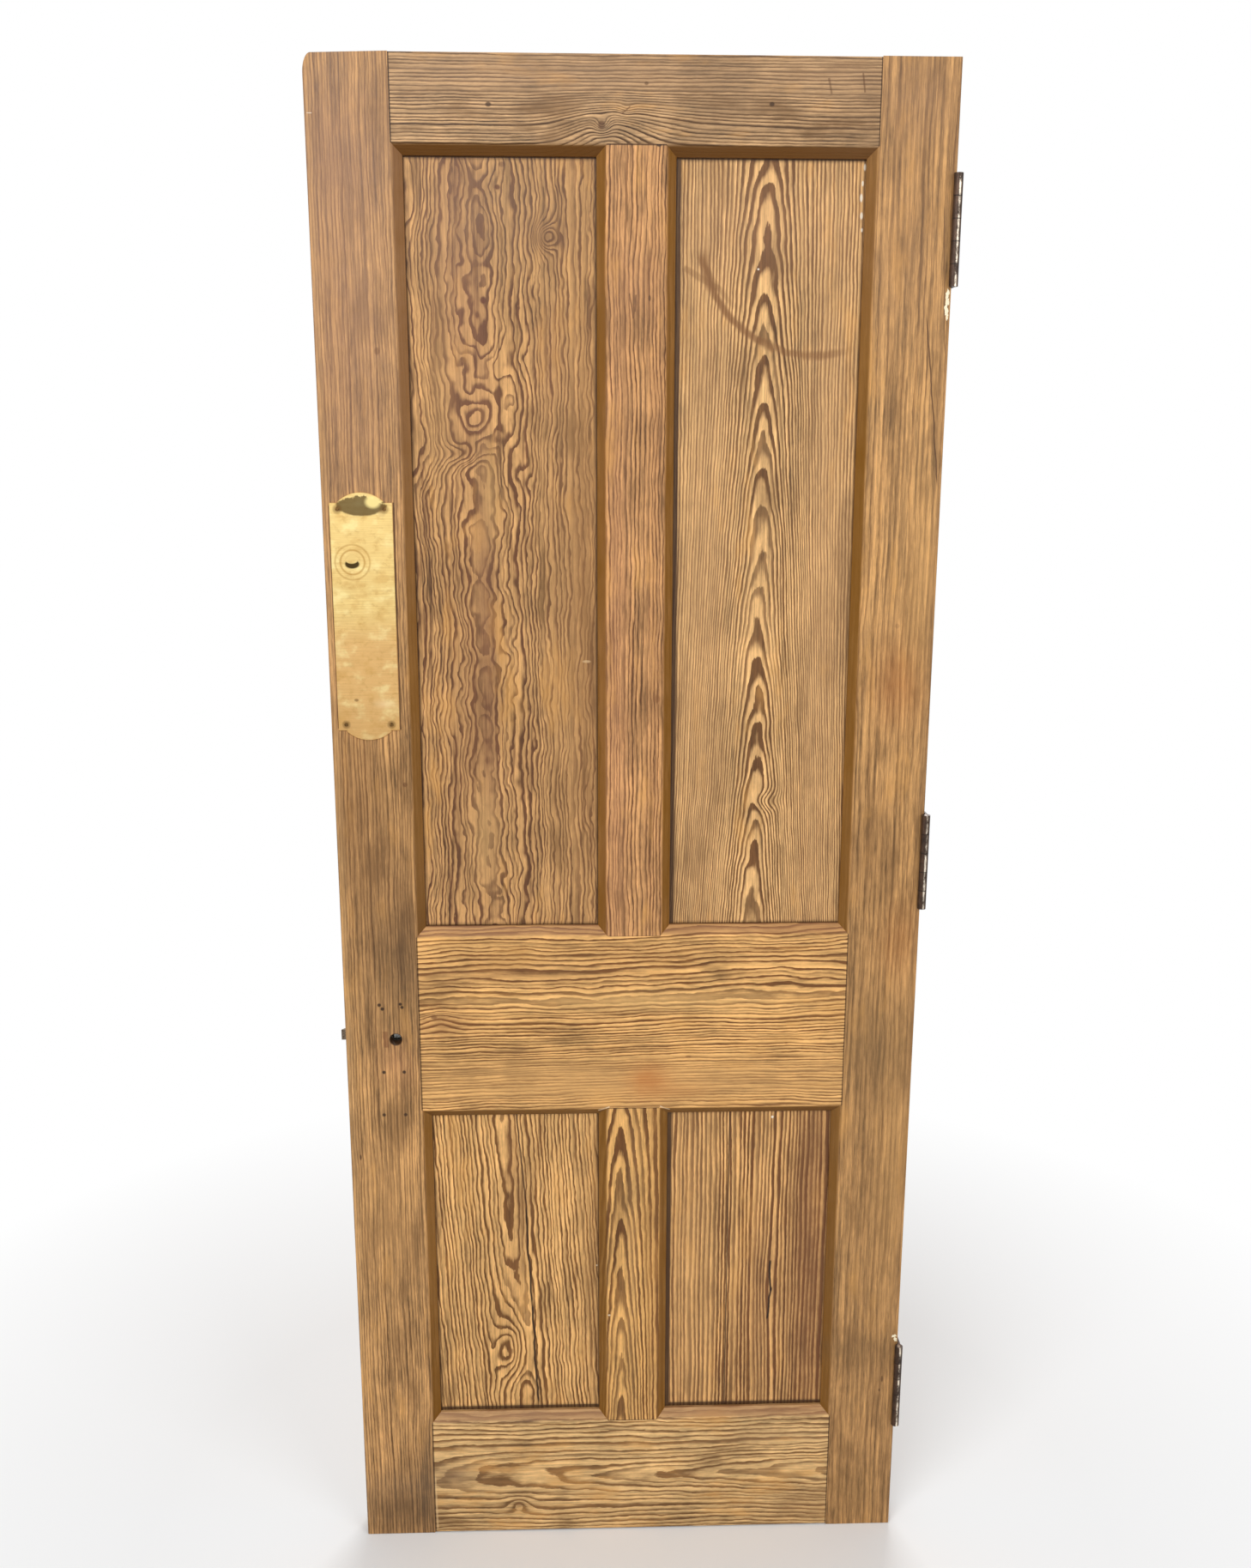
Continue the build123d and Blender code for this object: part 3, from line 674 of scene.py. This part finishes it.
timbers["upper_left_panel"] = timber(
    "upper_left_pine", True,
    arched_rings(196.0, 6.2, -0.006, 5.0, 400.0, 41.0, hold=60.0, drift=14.0, ripple=4.6,
                 run=150.0, steps=13.0, knots=[
                     ((190, 404), (23, 30), 7.0), ((205, 345), (34, 30), 2.6),
                     ((172, 449), (24, 14), 4.4), ((238, 385), (13, 34), -2.0),
                     ((276, 198), (13, 16), 4.6), ((236, 470), (14, 30), 1.8),
                     ((130, 430), (18, 60), 1.6), ((120, 150), (20, 40), 1.5),
                 ]),
    (194, 150, 102), (122, 80, 54), 0.88, late=(0.42, 0.8), uneven=0.9, smoky=0.75,
    wax=(0.89, 0.86, 0.76), mottle=1.5,
    edges=[panel_rim(left_panels, upper_panels)],
    patches=[
        ((198, 640), (12, 330), 0.5, (122, 82, 60)),
        ((170, 250), (34, 190), 0.35, (140, 98, 76)),
        ((176, 780), (30, 220), 0.32, (132, 90, 60)),
        ((145, 380), (16, 120), 0.3, (206, 160, 104)),
        ((205, 500), (12, 60), 0.35, (206, 164, 104)),
        ((190, 930), (18, 60), 0.4, (204, 162, 104)),
        ((308, 650), (36, 420), 0.4, (158, 116, 72)),
        ((200, 170), (110, 80), 0.22, (158, 126, 98)),
        ((275, 195), (26, 24), 0.5, (104, 72, 50)),
        ((325, 560), (16, 420), 0.35, (146, 102, 58)),
        ((280, 330), (20, 60), 0.3, (126, 86, 60)),
    ],
    marks=[
        ("spot", (201, 270), (3.4, 4.2), 0.85, (92, 52, 40)),
        ("spot", (220, 143), (3.2, 2.8), 0.8, (92, 54, 40)),
        ("spot", (226, 118), (4.0, 3.0), 0.5, (92, 58, 42)),
        ("spot", (323, 706), (5.0, 1.6), 0.55, (216, 184, 138)),
        ("spot", (340, 860), (2.0, 1.2), 0.7, (216, 200, 176)),
    ],
)
timbers["upper_right_panel"] = timber(
    "upper_right_pine", True,
    arched_rings(541.0, 4.2, -0.094, 18.0, 252.0, 53.0, spread=0.06, hold=45.0, drift=2.4,
                 ripple=1.0, run=190.0, knots=[((560, 890), (16, 12), 2.2)]),
    (214, 172, 122), (124, 84, 50), 0.98, late=(0.3, 0.7), smoky=0.2,
    wax=(0.97, 0.93, 0.81), mottle=1.3,
    edges=[panel_rim(right_panels, upper_panels)],
    patches=[
        ((470, 600), (38, 560), 0.45, (196, 152, 104)),
        ((622, 600), (34, 560), 0.45, (190, 146, 100)),
        ((540, 180), (120, 60), 0.2, (176, 130, 96)),
    ],
    marks=[
        ("ring", (602, 188), 144.0, 7.0, 208.0, 660.0, 0.6, (122, 80, 44)),
        ("ring", (592, 204), 126.0, 5.5, 206.0, 560.0, 0.5, (122, 80, 44)),
        ("ring", (610, 150), 164.0, 5.0, 214.0, 520.0, 0.5, (126, 86, 50)),
        ("streak", (440, 232), (486, 256), 5.0, 0.45, (126, 86, 50)),
        ("spot", (531, 233), (1.3, 1.1), 0.9, (238, 228, 210)),
        *[("spot", at, reach, 0.9, (232, 220, 200)) for at, reach in (
            ((655, 118), (1.4, 3.6)), ((653, 136), (1.2, 3.0)), ((652, 152), (1.6, 4.4)),
            ((653, 172), (1.6, 3.8)), ((654, 188), (1.2, 2.2)),
        )],
    ],
)
timbers["upper_muntin"] = timber(
    "upper_muntin_pine", True, straight_rings(250.0, 5.2, 6.0, 61.0, 12.0, 150.0),
    (200, 150, 104), (118, 76, 46), 0.88, fibre=0.42, uneven=0.9, smoky=0.5,
    wax=(0.92, 0.89, 0.77), mottle=1.8,
    edges=[dark_edge_line(97.6, False, 1.6), dark_edge_line(1069, False, 0.8)],
    patches=[
        ((384, 250), (26, 46), 0.35, (168, 120, 84)),
        ((360, 760), (16, 500), 0.28, (186, 128, 92)),
        ((408, 700), (10, 600), 0.25, (160, 110, 70)),
    ],
    marks=[
        ("streak", (376, 262), (380, 292), 1.2, 0.7, (92, 58, 38)),
        ("streak", (384, 264), (382, 284), 1.2, 0.7, (92, 58, 38)),
        ("streak", (370, 276), (372, 296), 0.9, 0.6, (96, 62, 40)),
        ("spot", (400, 268), (1.6, 3.4), 0.7, (76, 48, 30)),
        ("spot", (410, 98), (3.0, 2.0), 0.9, (44, 28, 18)),
        ("spot", (412, 752), (4.0, 5.0), 0.5, (120, 76, 42)),
    ],
)
timbers["lock_rail"] = timber(
    "lock_rail_pine", False,
    arched_rings(1161.0, 6.4, 0.001, 7.4, 100.0, 73.0, hold=70.0, drift=10.0, ripple=2.4,
                 run=210.0, lean=-0.02, knots=[
                     ((125, 1187), (22, 14), 1.8), ((400, 1330), (900, 110), 9.0),
                 ]),
    (214, 168, 110), (130, 84, 44), 0.95, late=(0.4, 0.85), uneven=0.9, smoky=0.45,
    wax=(1.04, 1.0, 0.88),
    edges=[dark_edge_line(98.2, True, 1.7), dark_edge_line(668.4, True, 1.3)],
    patches=[
        ((390, 1278), (330, 34), 0.62, (203, 155, 96)),
        ((400, 1160), (190, 13), 0.5, (220, 176, 112)),
        ((240, 1120), (150, 14), 0.3, (140, 98, 60)),
        ((405, 1275), (26, 22), 0.6, (186, 110, 48)),
        ((450, 1290), (40, 12), 0.32, (186, 124, 66)),
        ((130, 1188), (40, 18), 0.45, (142, 94, 54)),
        ((400, 1090), (320, 14), 0.2, (146, 104, 60)),
    ],
    marks=[
        ("spot", (118, 1180), (4.0, 3.0), 0.6, (104, 62, 34)),
        ("spot", (458, 1240), (4.0, 1.5), 0.6, (126, 84, 44)),
        ("spot", (590, 1222), (2.4, 1.4), 0.6, (120, 78, 40)),
        ("streak", (336, 1319), (352, 1312), 1.3, 0.85, (226, 202, 166)),
        ("streak", (420, 1312), (434, 1319), 1.1, 0.85, (226, 202, 166)),
    ],
)
timbers["lower_left_panel"] = timber(
    "lower_left_pine", True,
    arched_rings(203.0, 5.4, 0.012, 5.0, 1320.0, 83.0, hold=60.0, drift=5.0, ripple=2.6,
                 run=150.0, lean=0.062, knots=[
                     ((213, 1690), (22, 50), 5.6), ((219, 1590), (16, 60), 1.6),
                 ]),
    (214, 168, 110), (132, 88, 46), 0.92, late=(0.4, 0.8), uneven=0.7, smoky=0.4,
    wax=(1.05, 1.02, 0.94),
    edges=[panel_rim(left_panels, lower_panels)],
    patches=[
        ((217, 1380), (9, 70), 0.5, (126, 84, 48)),
        ((232, 1480), (8, 50), 0.4, (126, 84, 48)),
        ((220, 1560), (12, 60), 0.3, (132, 88, 52)),
        ((325, 1560), (14, 190), 0.35, (146, 102, 56)),
    ],
    marks=[
        ("streak", (224, 1318), (236, 1470), 1.4, 0.85, (60, 34, 18)),
        ("streak", (235, 1466), (242, 1620), 1.9, 0.95, (44, 25, 12)),
        ("streak", (242, 1616), (250, 1780), 2.1, 0.95, (44, 25, 12)),
        ("spot", (212, 1694), (5, 4), 0.5, (128, 84, 46)),
        ("spot", (334, 1560), (1.2, 1.2), 0.8, (232, 214, 186)),
    ],
)
timbers["lower_muntin"] = timber(
    "lower_muntin_pine", True,
    arched_rings(367.0, 7.4, -0.105, 6.0, 1500.0, 97.0, hold=34.0, drift=3.0, ripple=1.6,
                 run=150.0, lean=0.004),
    (212, 165, 104), (124, 80, 40), 0.98, late=(0.3, 0.7), smoky=0.2,
    wax=(0.99, 0.95, 0.84),
    edges=[dark_edge_line(1314.5, False, 0.9), dark_edge_line(1799.5, False, 1.0)],
    patches=[
        ((412, 1550), (12, 240), 0.35, (160, 112, 60)),
        ((384, 1520), (8, 180), 0.3, (206, 160, 104)),
    ],
    marks=[("spot", (351, 1630), (2.0, 1.2), 0.85, (228, 208, 180))],
)
timbers["lower_right_panel"] = timber(
    "lower_right_pine", True,
    hill_rings(
        straight_rings(330.0, 5.9, 4.0, 101.0, 10.0, 260.0), [((575, 1620), (18, 90), 0.9)]),
    (220, 176, 122), (124, 80, 44), 0.94, late=(0.22, 0.64), uneven=0.8, smoky=0.25,
    wax=(0.95, 0.87, 0.72),
    edges=[panel_rim(right_panels, lower_panels), dark_edge_line(517, True, 1.5)],
    patches=[
        ((634, 1560), (30, 330), 0.7, (122, 78, 46)),
        ((560, 1620), (30, 160), 0.35, (132, 88, 56)),
        ((466, 1560), (34, 300), 0.36, (206, 158, 102)),
    ],
    marks=[
        ("streak", (578, 1556), (579, 1606), 2.3, 0.95, (40, 23, 14)),
        ("streak", (580, 1598), (577, 1650), 2.1, 0.95, (40, 23, 14)),
        ("spot", (576, 1337), (1.6, 1.8), 0.95, (236, 226, 206)),
    ],
)
timbers["bottom_rail"] = timber(
    "bottom_rail_pine", False,
    arched_rings(1889.0, 8.0, -0.085, 19.0, 320.0, 113.0, hold=38.0, drift=9.0, ripple=2.6,
                 run=200.0, knots=[((220, 1936), (16, 11), 1.9)]),
    (202, 160, 106), (146, 102, 58), 0.95, late=(0.36, 0.9), uneven=0.8, smoky=0.5,
    wax=(1.06, 1.13, 1.18), mottle=1.5,
    edges=[dark_edge_line(98.2, True, 1.8), dark_edge_line(668.4, True, 1.3)],
    patches=[
        ((125, 1885), (34, 16), 0.4, (130, 100, 76)),
        ((640, 1950), (60, 34), 0.4, (140, 104, 66)),
        ((600, 1830), (90, 14), 0.2, (196, 160, 116)),
    ],
    marks=[
        ("spot", (220, 1936), (6, 4.5), 0.45, (122, 80, 44)),
        ("streak", (99.5, 1885), (101, 1976), 2.0, 0.5, (222, 186, 136)),
    ],
)


def dress(node, material):
    """Give a CAD node's object its material."""
    piece = bpy.data.objects[node]
    piece.data.materials.clear()
    piece.data.materials.append(material)


for node, material in timbers.items():
    dress(node, material)
wedge_grain = timber(
    "wedge_oak", False, straight_rings(-400.0, 2.2, 1.0, 5.0), (170, 122, 74), (104, 66, 36), 0.8)
for node in ("top_rail_wedges", "lock_rail_wedges", "bottom_rail_wedges"):
    dress(node, wedge_grain)


# Finger plate
# Sheet brass with pressed bevels, held by four small screws. It was rubbed bright by hands
# and has tarnished in spots; a dark reflection and a highlight near its top are painted on it.
def metal_finish(name, metallic, colour_of, rough_of, lift_of=None, lift=0.0002, strength=0.4):
    """A metal whose colour, roughness and relief are worked out from the place on the door."""
    material, tree, output = blank_material(name)
    X, Z, Y = door_place(tree)
    skin = tree.nodes.new("ShaderNodeBsdfPrincipled")
    skin.inputs["Metallic"].default_value = metallic
    tree.links.new(colour_of(X, Z, Y, tree), skin.inputs["Base Color"])
    tree.links.new(rough_of(X, Z, Y, tree).socket, skin.inputs["Roughness"])
    if lift_of is not None:
        raise_skin(skin, lift_of(X, Z, Y, tree), strength, lift)
    tree.links.new(skin.outputs[0], output.inputs["Surface"])
    return material


knob_at = (35.0, 580.0)
plate_screws = ((19.0, 515.5, 5.5), (76.0, 515.5, 5.5), (19.0, 783.5, 5.0), (76.0, 783.5, 5.0))


def plate_rings(X, Z):
    """Faint rings left round a knob's rose: the sine of the distance from its middle, kept
    between 8 and 27 mm."""
    far = distance(X, Z, knob_at)
    return (far * 0.95).wave() * far.rise(8.0, 11.0) * far.rise(27.0, 19.0)


def plate_colour(X, Z, Y, tree):
    """Bright yellow above, duller gold below, with wiped streaks, rings and tarnish, and a
    painted dark reflection with a painted highlight near the top.
    """
    slow = cloud(tree, X / 30.0, Z / 22.0, 0.0, 3.0, 0.6, seed=2.0)
    wiped = cloud(tree, X / 55.0, Z / 1.1, 0.0, 2.0, 0.6, seed=4.0)
    change = (Z + slow * 14.0).rise(632.0, 690.0)
    colour = tint(tree, change, linear(244, 214, 142), linear(234, 190, 126))
    colour = tint(tree, (wiped * 0.8 + 0.4).most(0.0) * 0.5, colour, linear(190, 146, 82))
    blotch = cloud(tree, X / 12.0, Z / 9.0, 0.0, 4.0, 0.65, seed=17.0)
    colour = tint(tree, blotch.rise(0.02, 0.5) * 0.4, colour, linear(186, 140, 72))
    colour = tint(tree, slow.rise(0.0, 0.45) * 0.5, colour, linear(255, 238, 172))
    colour = tint(tree, slow.rise(-0.05, -0.45) * 0.4, colour, linear(204, 156, 84))
    colour = tint(tree, (plate_rings(X, Z) * 0.6).most(0.0), colour, linear(180, 130, 60))
    # painted reflection: a dark shape with a wavering rim across the top of the plate, and a
    # painted highlight beside it
    rim = cloud(tree, X / 9.0, Z / 9.0, 0.0, 2.0, 0.6, seed=8.0)
    top = bell(X, Z + rim * 3.0, (48.0, 512.0), (33.0, 13.0)) * 1.9 + rim * 0.45
    colour = tint(tree, top.rise(0.74, 0.98) * 0.86, colour, linear(90, 72, 44))
    colour = tint(tree, spot(X, Z, (62.5, 507.0), (9.0, 7.0)) * 0.9, colour, linear(246, 222, 148))
    colour = tint(tree, spot(X, Z, (73.0, 521.0), (4.5, 4.0)) * 0.5, colour, linear(206, 174, 116))
    moon = spot(X, Z, (34.5, 582.0), (8.8, 5.6), 0.15)
    moon = moon * (1.0 - spot(X, Z, (34.0, 577.0), (7.5, 4.6), 0.15))
    colour = tint(tree, moon * 0.95, colour, linear(50, 34, 16))
    colour = tint(tree, bell(X, Z, (68.0, 757.0), (13.0, 5.0)) * 0.5, colour, linear(250, 222, 170))
    colour = tint(tree, spot(X, Z, (33.0, 752.0), (2.6, 1.8)) * 0.6, colour, linear(110, 78, 44))
    low = Z.rise(740.0, 800.0) * 0.22
    colour = tint(tree, low, colour, linear(196, 146, 86))
    first, *others = [spot(X, Z, (x, z), (reach, reach)) for x, z, reach in plate_screws]
    for other in others:
        first = first.most(other)
    return tint(tree, first * 0.55, colour, linear(112, 80, 44))


def plate_rough(X, Z, Y, tree):
    """Rubbed to a soft shine, duller where it is tarnished."""
    wiped = cloud(tree, X / 40.0, Z / 0.8, 0.0, 2.0, 0.6, seed=6.0)
    slow = cloud(tree, X / 20.0, Z / 20.0, 0.0, 2.0, 0.6, seed=9.0)
    return 0.36 + wiped * 0.05 + slow * 0.06


def plate_lift(X, Z, Y, tree):
    """Hair scratches that run mostly across the plate."""
    hair = cloud(tree, X / 26.0, Z / 0.5, 0.0, 3.0, 0.7, seed=12.0)
    dents = cloud(tree, X / 9.0, Z / 9.0, 0.0, 2.0, 0.5, seed=14.0)
    return hair * 0.4 + dents * 0.6


brass = metal_finish("plate_brass", 1.0, plate_colour, plate_rough, plate_lift, 0.00012, 0.35)
dress("finger_plate", brass)


def old_metal(name, clean, dirty, metallic, rough, seed, share=0.5):
    """Metal with grime: a clean colour broken by patches of a dirty one."""
    def colour(X, Z, Y, tree):
        patch = cloud(tree, X / 2.6, Z / 2.6, Y / 2.6, 3.0, 0.65, seed=seed)
        fine = cloud(tree, X / 0.6, Z / 0.6, Y / 0.6, 2.0, 0.6, seed=seed + 3)
        return tint(tree, (patch * 0.5 + fine * 0.2 + share).rise(0.1, 0.9), clean, dirty)

    def roughness(X, Z, Y, tree):
        return cloud(tree, X / 3.0, Z / 3.0, Y / 3.0, 3.0, 0.6, seed=seed + 5) * 0.14 + rough

    def relief(X, Z, Y, tree):
        return cloud(tree, X / 0.9, Z / 0.9, Y / 0.9, 3.0, 0.65, seed=seed + 7)

    return metal_finish(name, metallic, colour, roughness, relief, 0.00008, 0.4)


dress("finger_plate_screws", old_metal(
    "small_screw_brass", linear(150, 112, 62), linear(58, 40, 24), 0.85, 0.4, 21.0))


# Butt hinges
# Cast iron leaves with five knuckles on a steel pin, folded shut, browned by rust and old
# varnish, with a painted highlight along the front of the barrel.
hinge_tops = (126.5, 905.0, 1684.0)
hinge_high, knuckles = 127.0, 5
knuckle_high = hinge_high / knuckles
barrel_highlight = 763.8  # millimetres from the leaf's left edge


def iron_colour(X, Z, Y, tree):
    """Brown-black iron with rust, a painted highlight down the barrel's front, dark in its joints.
    """
    patch = cloud(tree, X / 7.0, Z / 13.0, Y / 7.0, 4.0, 0.62, seed=31.0)
    grain = cloud(tree, X / 1.2, Z / 1.2, Y / 1.2, 3.0, 0.65, seed=33.0)
    colour = tint(
        tree, (patch * 0.6 + 0.45).rise(0.0, 1.0), linear(42, 31, 24), linear(96, 70, 52))
    colour = tint(tree, grain.rise(0.1, 0.7) * 0.35, colour, linear(112, 78, 54))
    # painted highlight: a narrow pale stripe down the barrel's front, broken up by noise
    front = Y.rise(-8.6, -10.3) * (X - barrel_highlight).size().rise(1.9, 0.5)
    painted_highlight = front * (patch * 0.9 + grain * 0.3 + 0.42).rise(0.2, 0.8)
    colour = tint(tree, painted_highlight * 0.95, colour, linear(250, 236, 214))
    for top in hinge_tops:
        along = (Z - top) / knuckle_high
        gap = (along - (along + 0.5).whole()).size().rise(0.035, 0.012)
        near = (Z - (top + hinge_high / 2)).size().rise(60.0, 58.0)
        colour = tint(tree, gap * near * 0.85, colour, linear(30, 19, 13))
    return colour


def iron_rough(X, Z, Y, tree):
    """Dull where rusty, smoother where hands and the other leaf rubbed."""
    patch = cloud(tree, X / 5.0, Z / 9.0, Y / 5.0, 3.0, 0.6, seed=36.0)
    return 0.5 + patch * 0.12 - Y.rise(-9.0, -10.3) * 0.12


def iron_lift(X, Z, Y, tree):
    """The pitted skin of cast iron under worn varnish."""
    pits = cloud(tree, X / 1.1, Z / 1.1, Y / 1.1, 3.0, 0.7, seed=38.0)
    flats = cloud(tree, X / 6.0, Z / 10.0, Y / 6.0, 2.0, 0.5, seed=39.0)
    return pits * 0.5 + flats * 0.5


iron = metal_finish("hinge_iron", 0.55, iron_colour, iron_rough, iron_lift, 0.0003, 0.5)
for place in ("top", "middle", "bottom"):
    dress(f"frame_leaf_{place}", iron)
    dress(f"stile_leaf_{place}", iron)
pin_steel = old_metal("pin_steel", linear(128, 112, 96), linear(70, 48, 34), 0.9, 0.38, 41.0)
screw_steel = old_metal("screw_steel", linear(120, 108, 96), linear(66, 44, 30), 0.9, 0.42, 44.0)
for place in ("top", "middle", "bottom"):
    dress(f"hinge_pin_{place}", pin_steel)
    dress(f"hinge_screws_{place}", screw_steel)


# Mortice latch
# A folded steel case with a brass forend and a steel bolt. The follower in it turns with the
# handles' spindle and can be seen in the hole; a coil spring pushes the bolt out.
latch_steel = old_metal("latch_steel", linear(132, 124, 112), linear(74, 54, 38), 0.85, 0.42, 51.0)
latch_brass = old_metal(
    "latch_brass", linear(214, 176, 104), linear(136, 96, 52), 1.0, 0.34, 55.0, 0.2)
bolt_steel = old_metal("bolt_steel", linear(140, 128, 112), linear(84, 64, 48), 0.85, 0.4, 53.0)
follower_iron = old_metal(
    "follower_iron", linear(92, 92, 82), linear(30, 26, 22), 0.85, 0.24, 58.0, 0.5)
dress("latch_case", latch_steel)
dress("latch_forend", latch_brass)
dress("latch_bolt", bolt_steel)
dress("latch_screws", old_metal(
    "latch_screw_brass", linear(190, 150, 88), linear(88, 60, 34), 0.95, 0.4, 61.0))
dress("latch_follower", follower_iron)

spring_low, spring_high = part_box("latch_spring")
coil_turns, coil_radius, wire_radius = 5, 0.0036, 0.0005
coil_steps, wire_sides = 240, 12


def spring_coil(step, turn):
    """A round wire bent to a helix about the X axis, closed at both ends: step runs along the
    wire, turn round it."""
    share = np.clip(step / coil_steps, 0, 1)
    thick = wire_radius * ((step >= 0) & (step <= coil_steps))
    start, end = spring_low.x + wire_radius, spring_high.x - wire_radius
    angle = 2 * np.pi * coil_turns * share
    slope = np.arctan2(end - start, 2 * np.pi * coil_turns * coil_radius)
    out, aside = thick * np.cos(turn), thick * np.sin(turn)
    y = (coil_radius + out) * np.cos(angle) + aside * np.sin(slope) * np.sin(angle)
    z = (coil_radius + out) * np.sin(angle) - aside * np.sin(slope) * np.cos(angle)
    x = start + (end - start) * share + aside * np.cos(slope)
    return x, y, z + (spring_low.z + spring_high.z) / 2


points, faces = sheet_grid(
    np.arange(-1, coil_steps + 2), np.linspace(0, 2 * np.pi, wire_sides + 1), spring_coil)
latch_coil = make_piece("latch_coil", points, faces, latch_steel)
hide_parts("latch_spring")
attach(latch_coil, "door")
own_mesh(latch_coil)


# Paint left behind
# Crumbs of the old cream paint that the stripping missed, on the hinge stile's front edge
# beside the hinges.
crumb_thick, crumb_sunk = 0.00035, 0.00005
crumb_dome, crumb_skirt = 0.8, 0.2  # shares of the way out: over the top, and down to the wood
face_y = -leaf_thick / 2 / 1000


def paint_crumb(at, half, seed, rows=15, columns=9):
    """A crumb's points: a domed oval whose rim wavers, from its face down to the wood."""
    def surface(u, v):
        """u runs from the middle out over the rim to the foot, v round it. The rim is an oval
        with sines of 2, 5 and 9 waves on it; the dome falls by the fourth power of u."""
        angle = 2 * np.pi * v
        over = (u - crumb_dome) / crumb_skirt
        rim = (1 + 0.22 * np.sin(2 * angle + seed) + 0.13 * np.sin(5 * angle + 2.1 * seed)
               + 0.08 * np.sin(9 * angle + 0.7 * seed))
        out = np.minimum(u / crumb_dome, 1.0) * (1 + 0.06 * np.clip(over, 0, 1))
        high = np.where(u < crumb_dome, 1.0 - 0.25 * (u / crumb_dome) ** 4, 0.75 * (1 - over))
        high = high + 0.18 * u * np.sin(7 * u + 3 * angle + seed) * (u < 0.75)
        x = at[0] + half[0] * out * rim * np.cos(angle)
        z = at[1] + half[1] * out * rim * np.sin(angle)
        y = face_y - crumb_thick * high + crumb_sunk
        return x, y, z
    return sheet_grid(np.linspace(0, 1, columns), np.linspace(0, 1, 4 * rows + 1), surface)


def cream_colour(X, Z, Y, tree):
    """Cream paint, yellowed in patches."""
    patch = cloud(tree, X / 2.0, Z / 2.0, Y / 2.0, 3.0, 0.6, seed=71.0)
    return tint(
        tree, (patch * 0.6 + 0.3).rise(0.1, 1.0), linear(247, 236, 204), linear(226, 202, 154))


def cream_rough(X, Z, Y, tree):
    """Old oil paint, dull with a few glossier spots."""
    return cloud(tree, X / 3.0, Z / 3.0, Y / 3.0, 2.0, 0.5, seed=73.0) * 0.1 + 0.55


cream_paint = metal_finish("cream_paint", 0.0, cream_colour, cream_rough)
# each crumb's place across and down the door, and half its width and height, in millimetres
crumbs = (
    (757.6, 262.0, 2.0, 5.4), (758.0, 270.5, 1.8, 4.8), (757.2, 280.5, 2.3, 6.6),
    (758.4, 287.5, 1.5, 3.2), (756.4, 1671.0, 2.8, 2.2), (758.4, 1676.5, 1.8, 3.6),
)
crumb_points, crumb_faces = [], []
for turn, (across, down, wide, high) in enumerate(crumbs):
    points, faces = paint_crumb(
        ((across - leaf_wide / 2) / 1000, (leaf_high - down) / 1000),
        (wide / 1000, high / 1000), 1.7 * turn)
    crumb_faces.append(faces + sum(len(p) for p in crumb_points))
    crumb_points.append(points)
crumb_piece = make_piece(
    "paint_crumbs", np.concatenate(crumb_points), np.concatenate(crumb_faces), cream_paint)
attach(crumb_piece, "door")
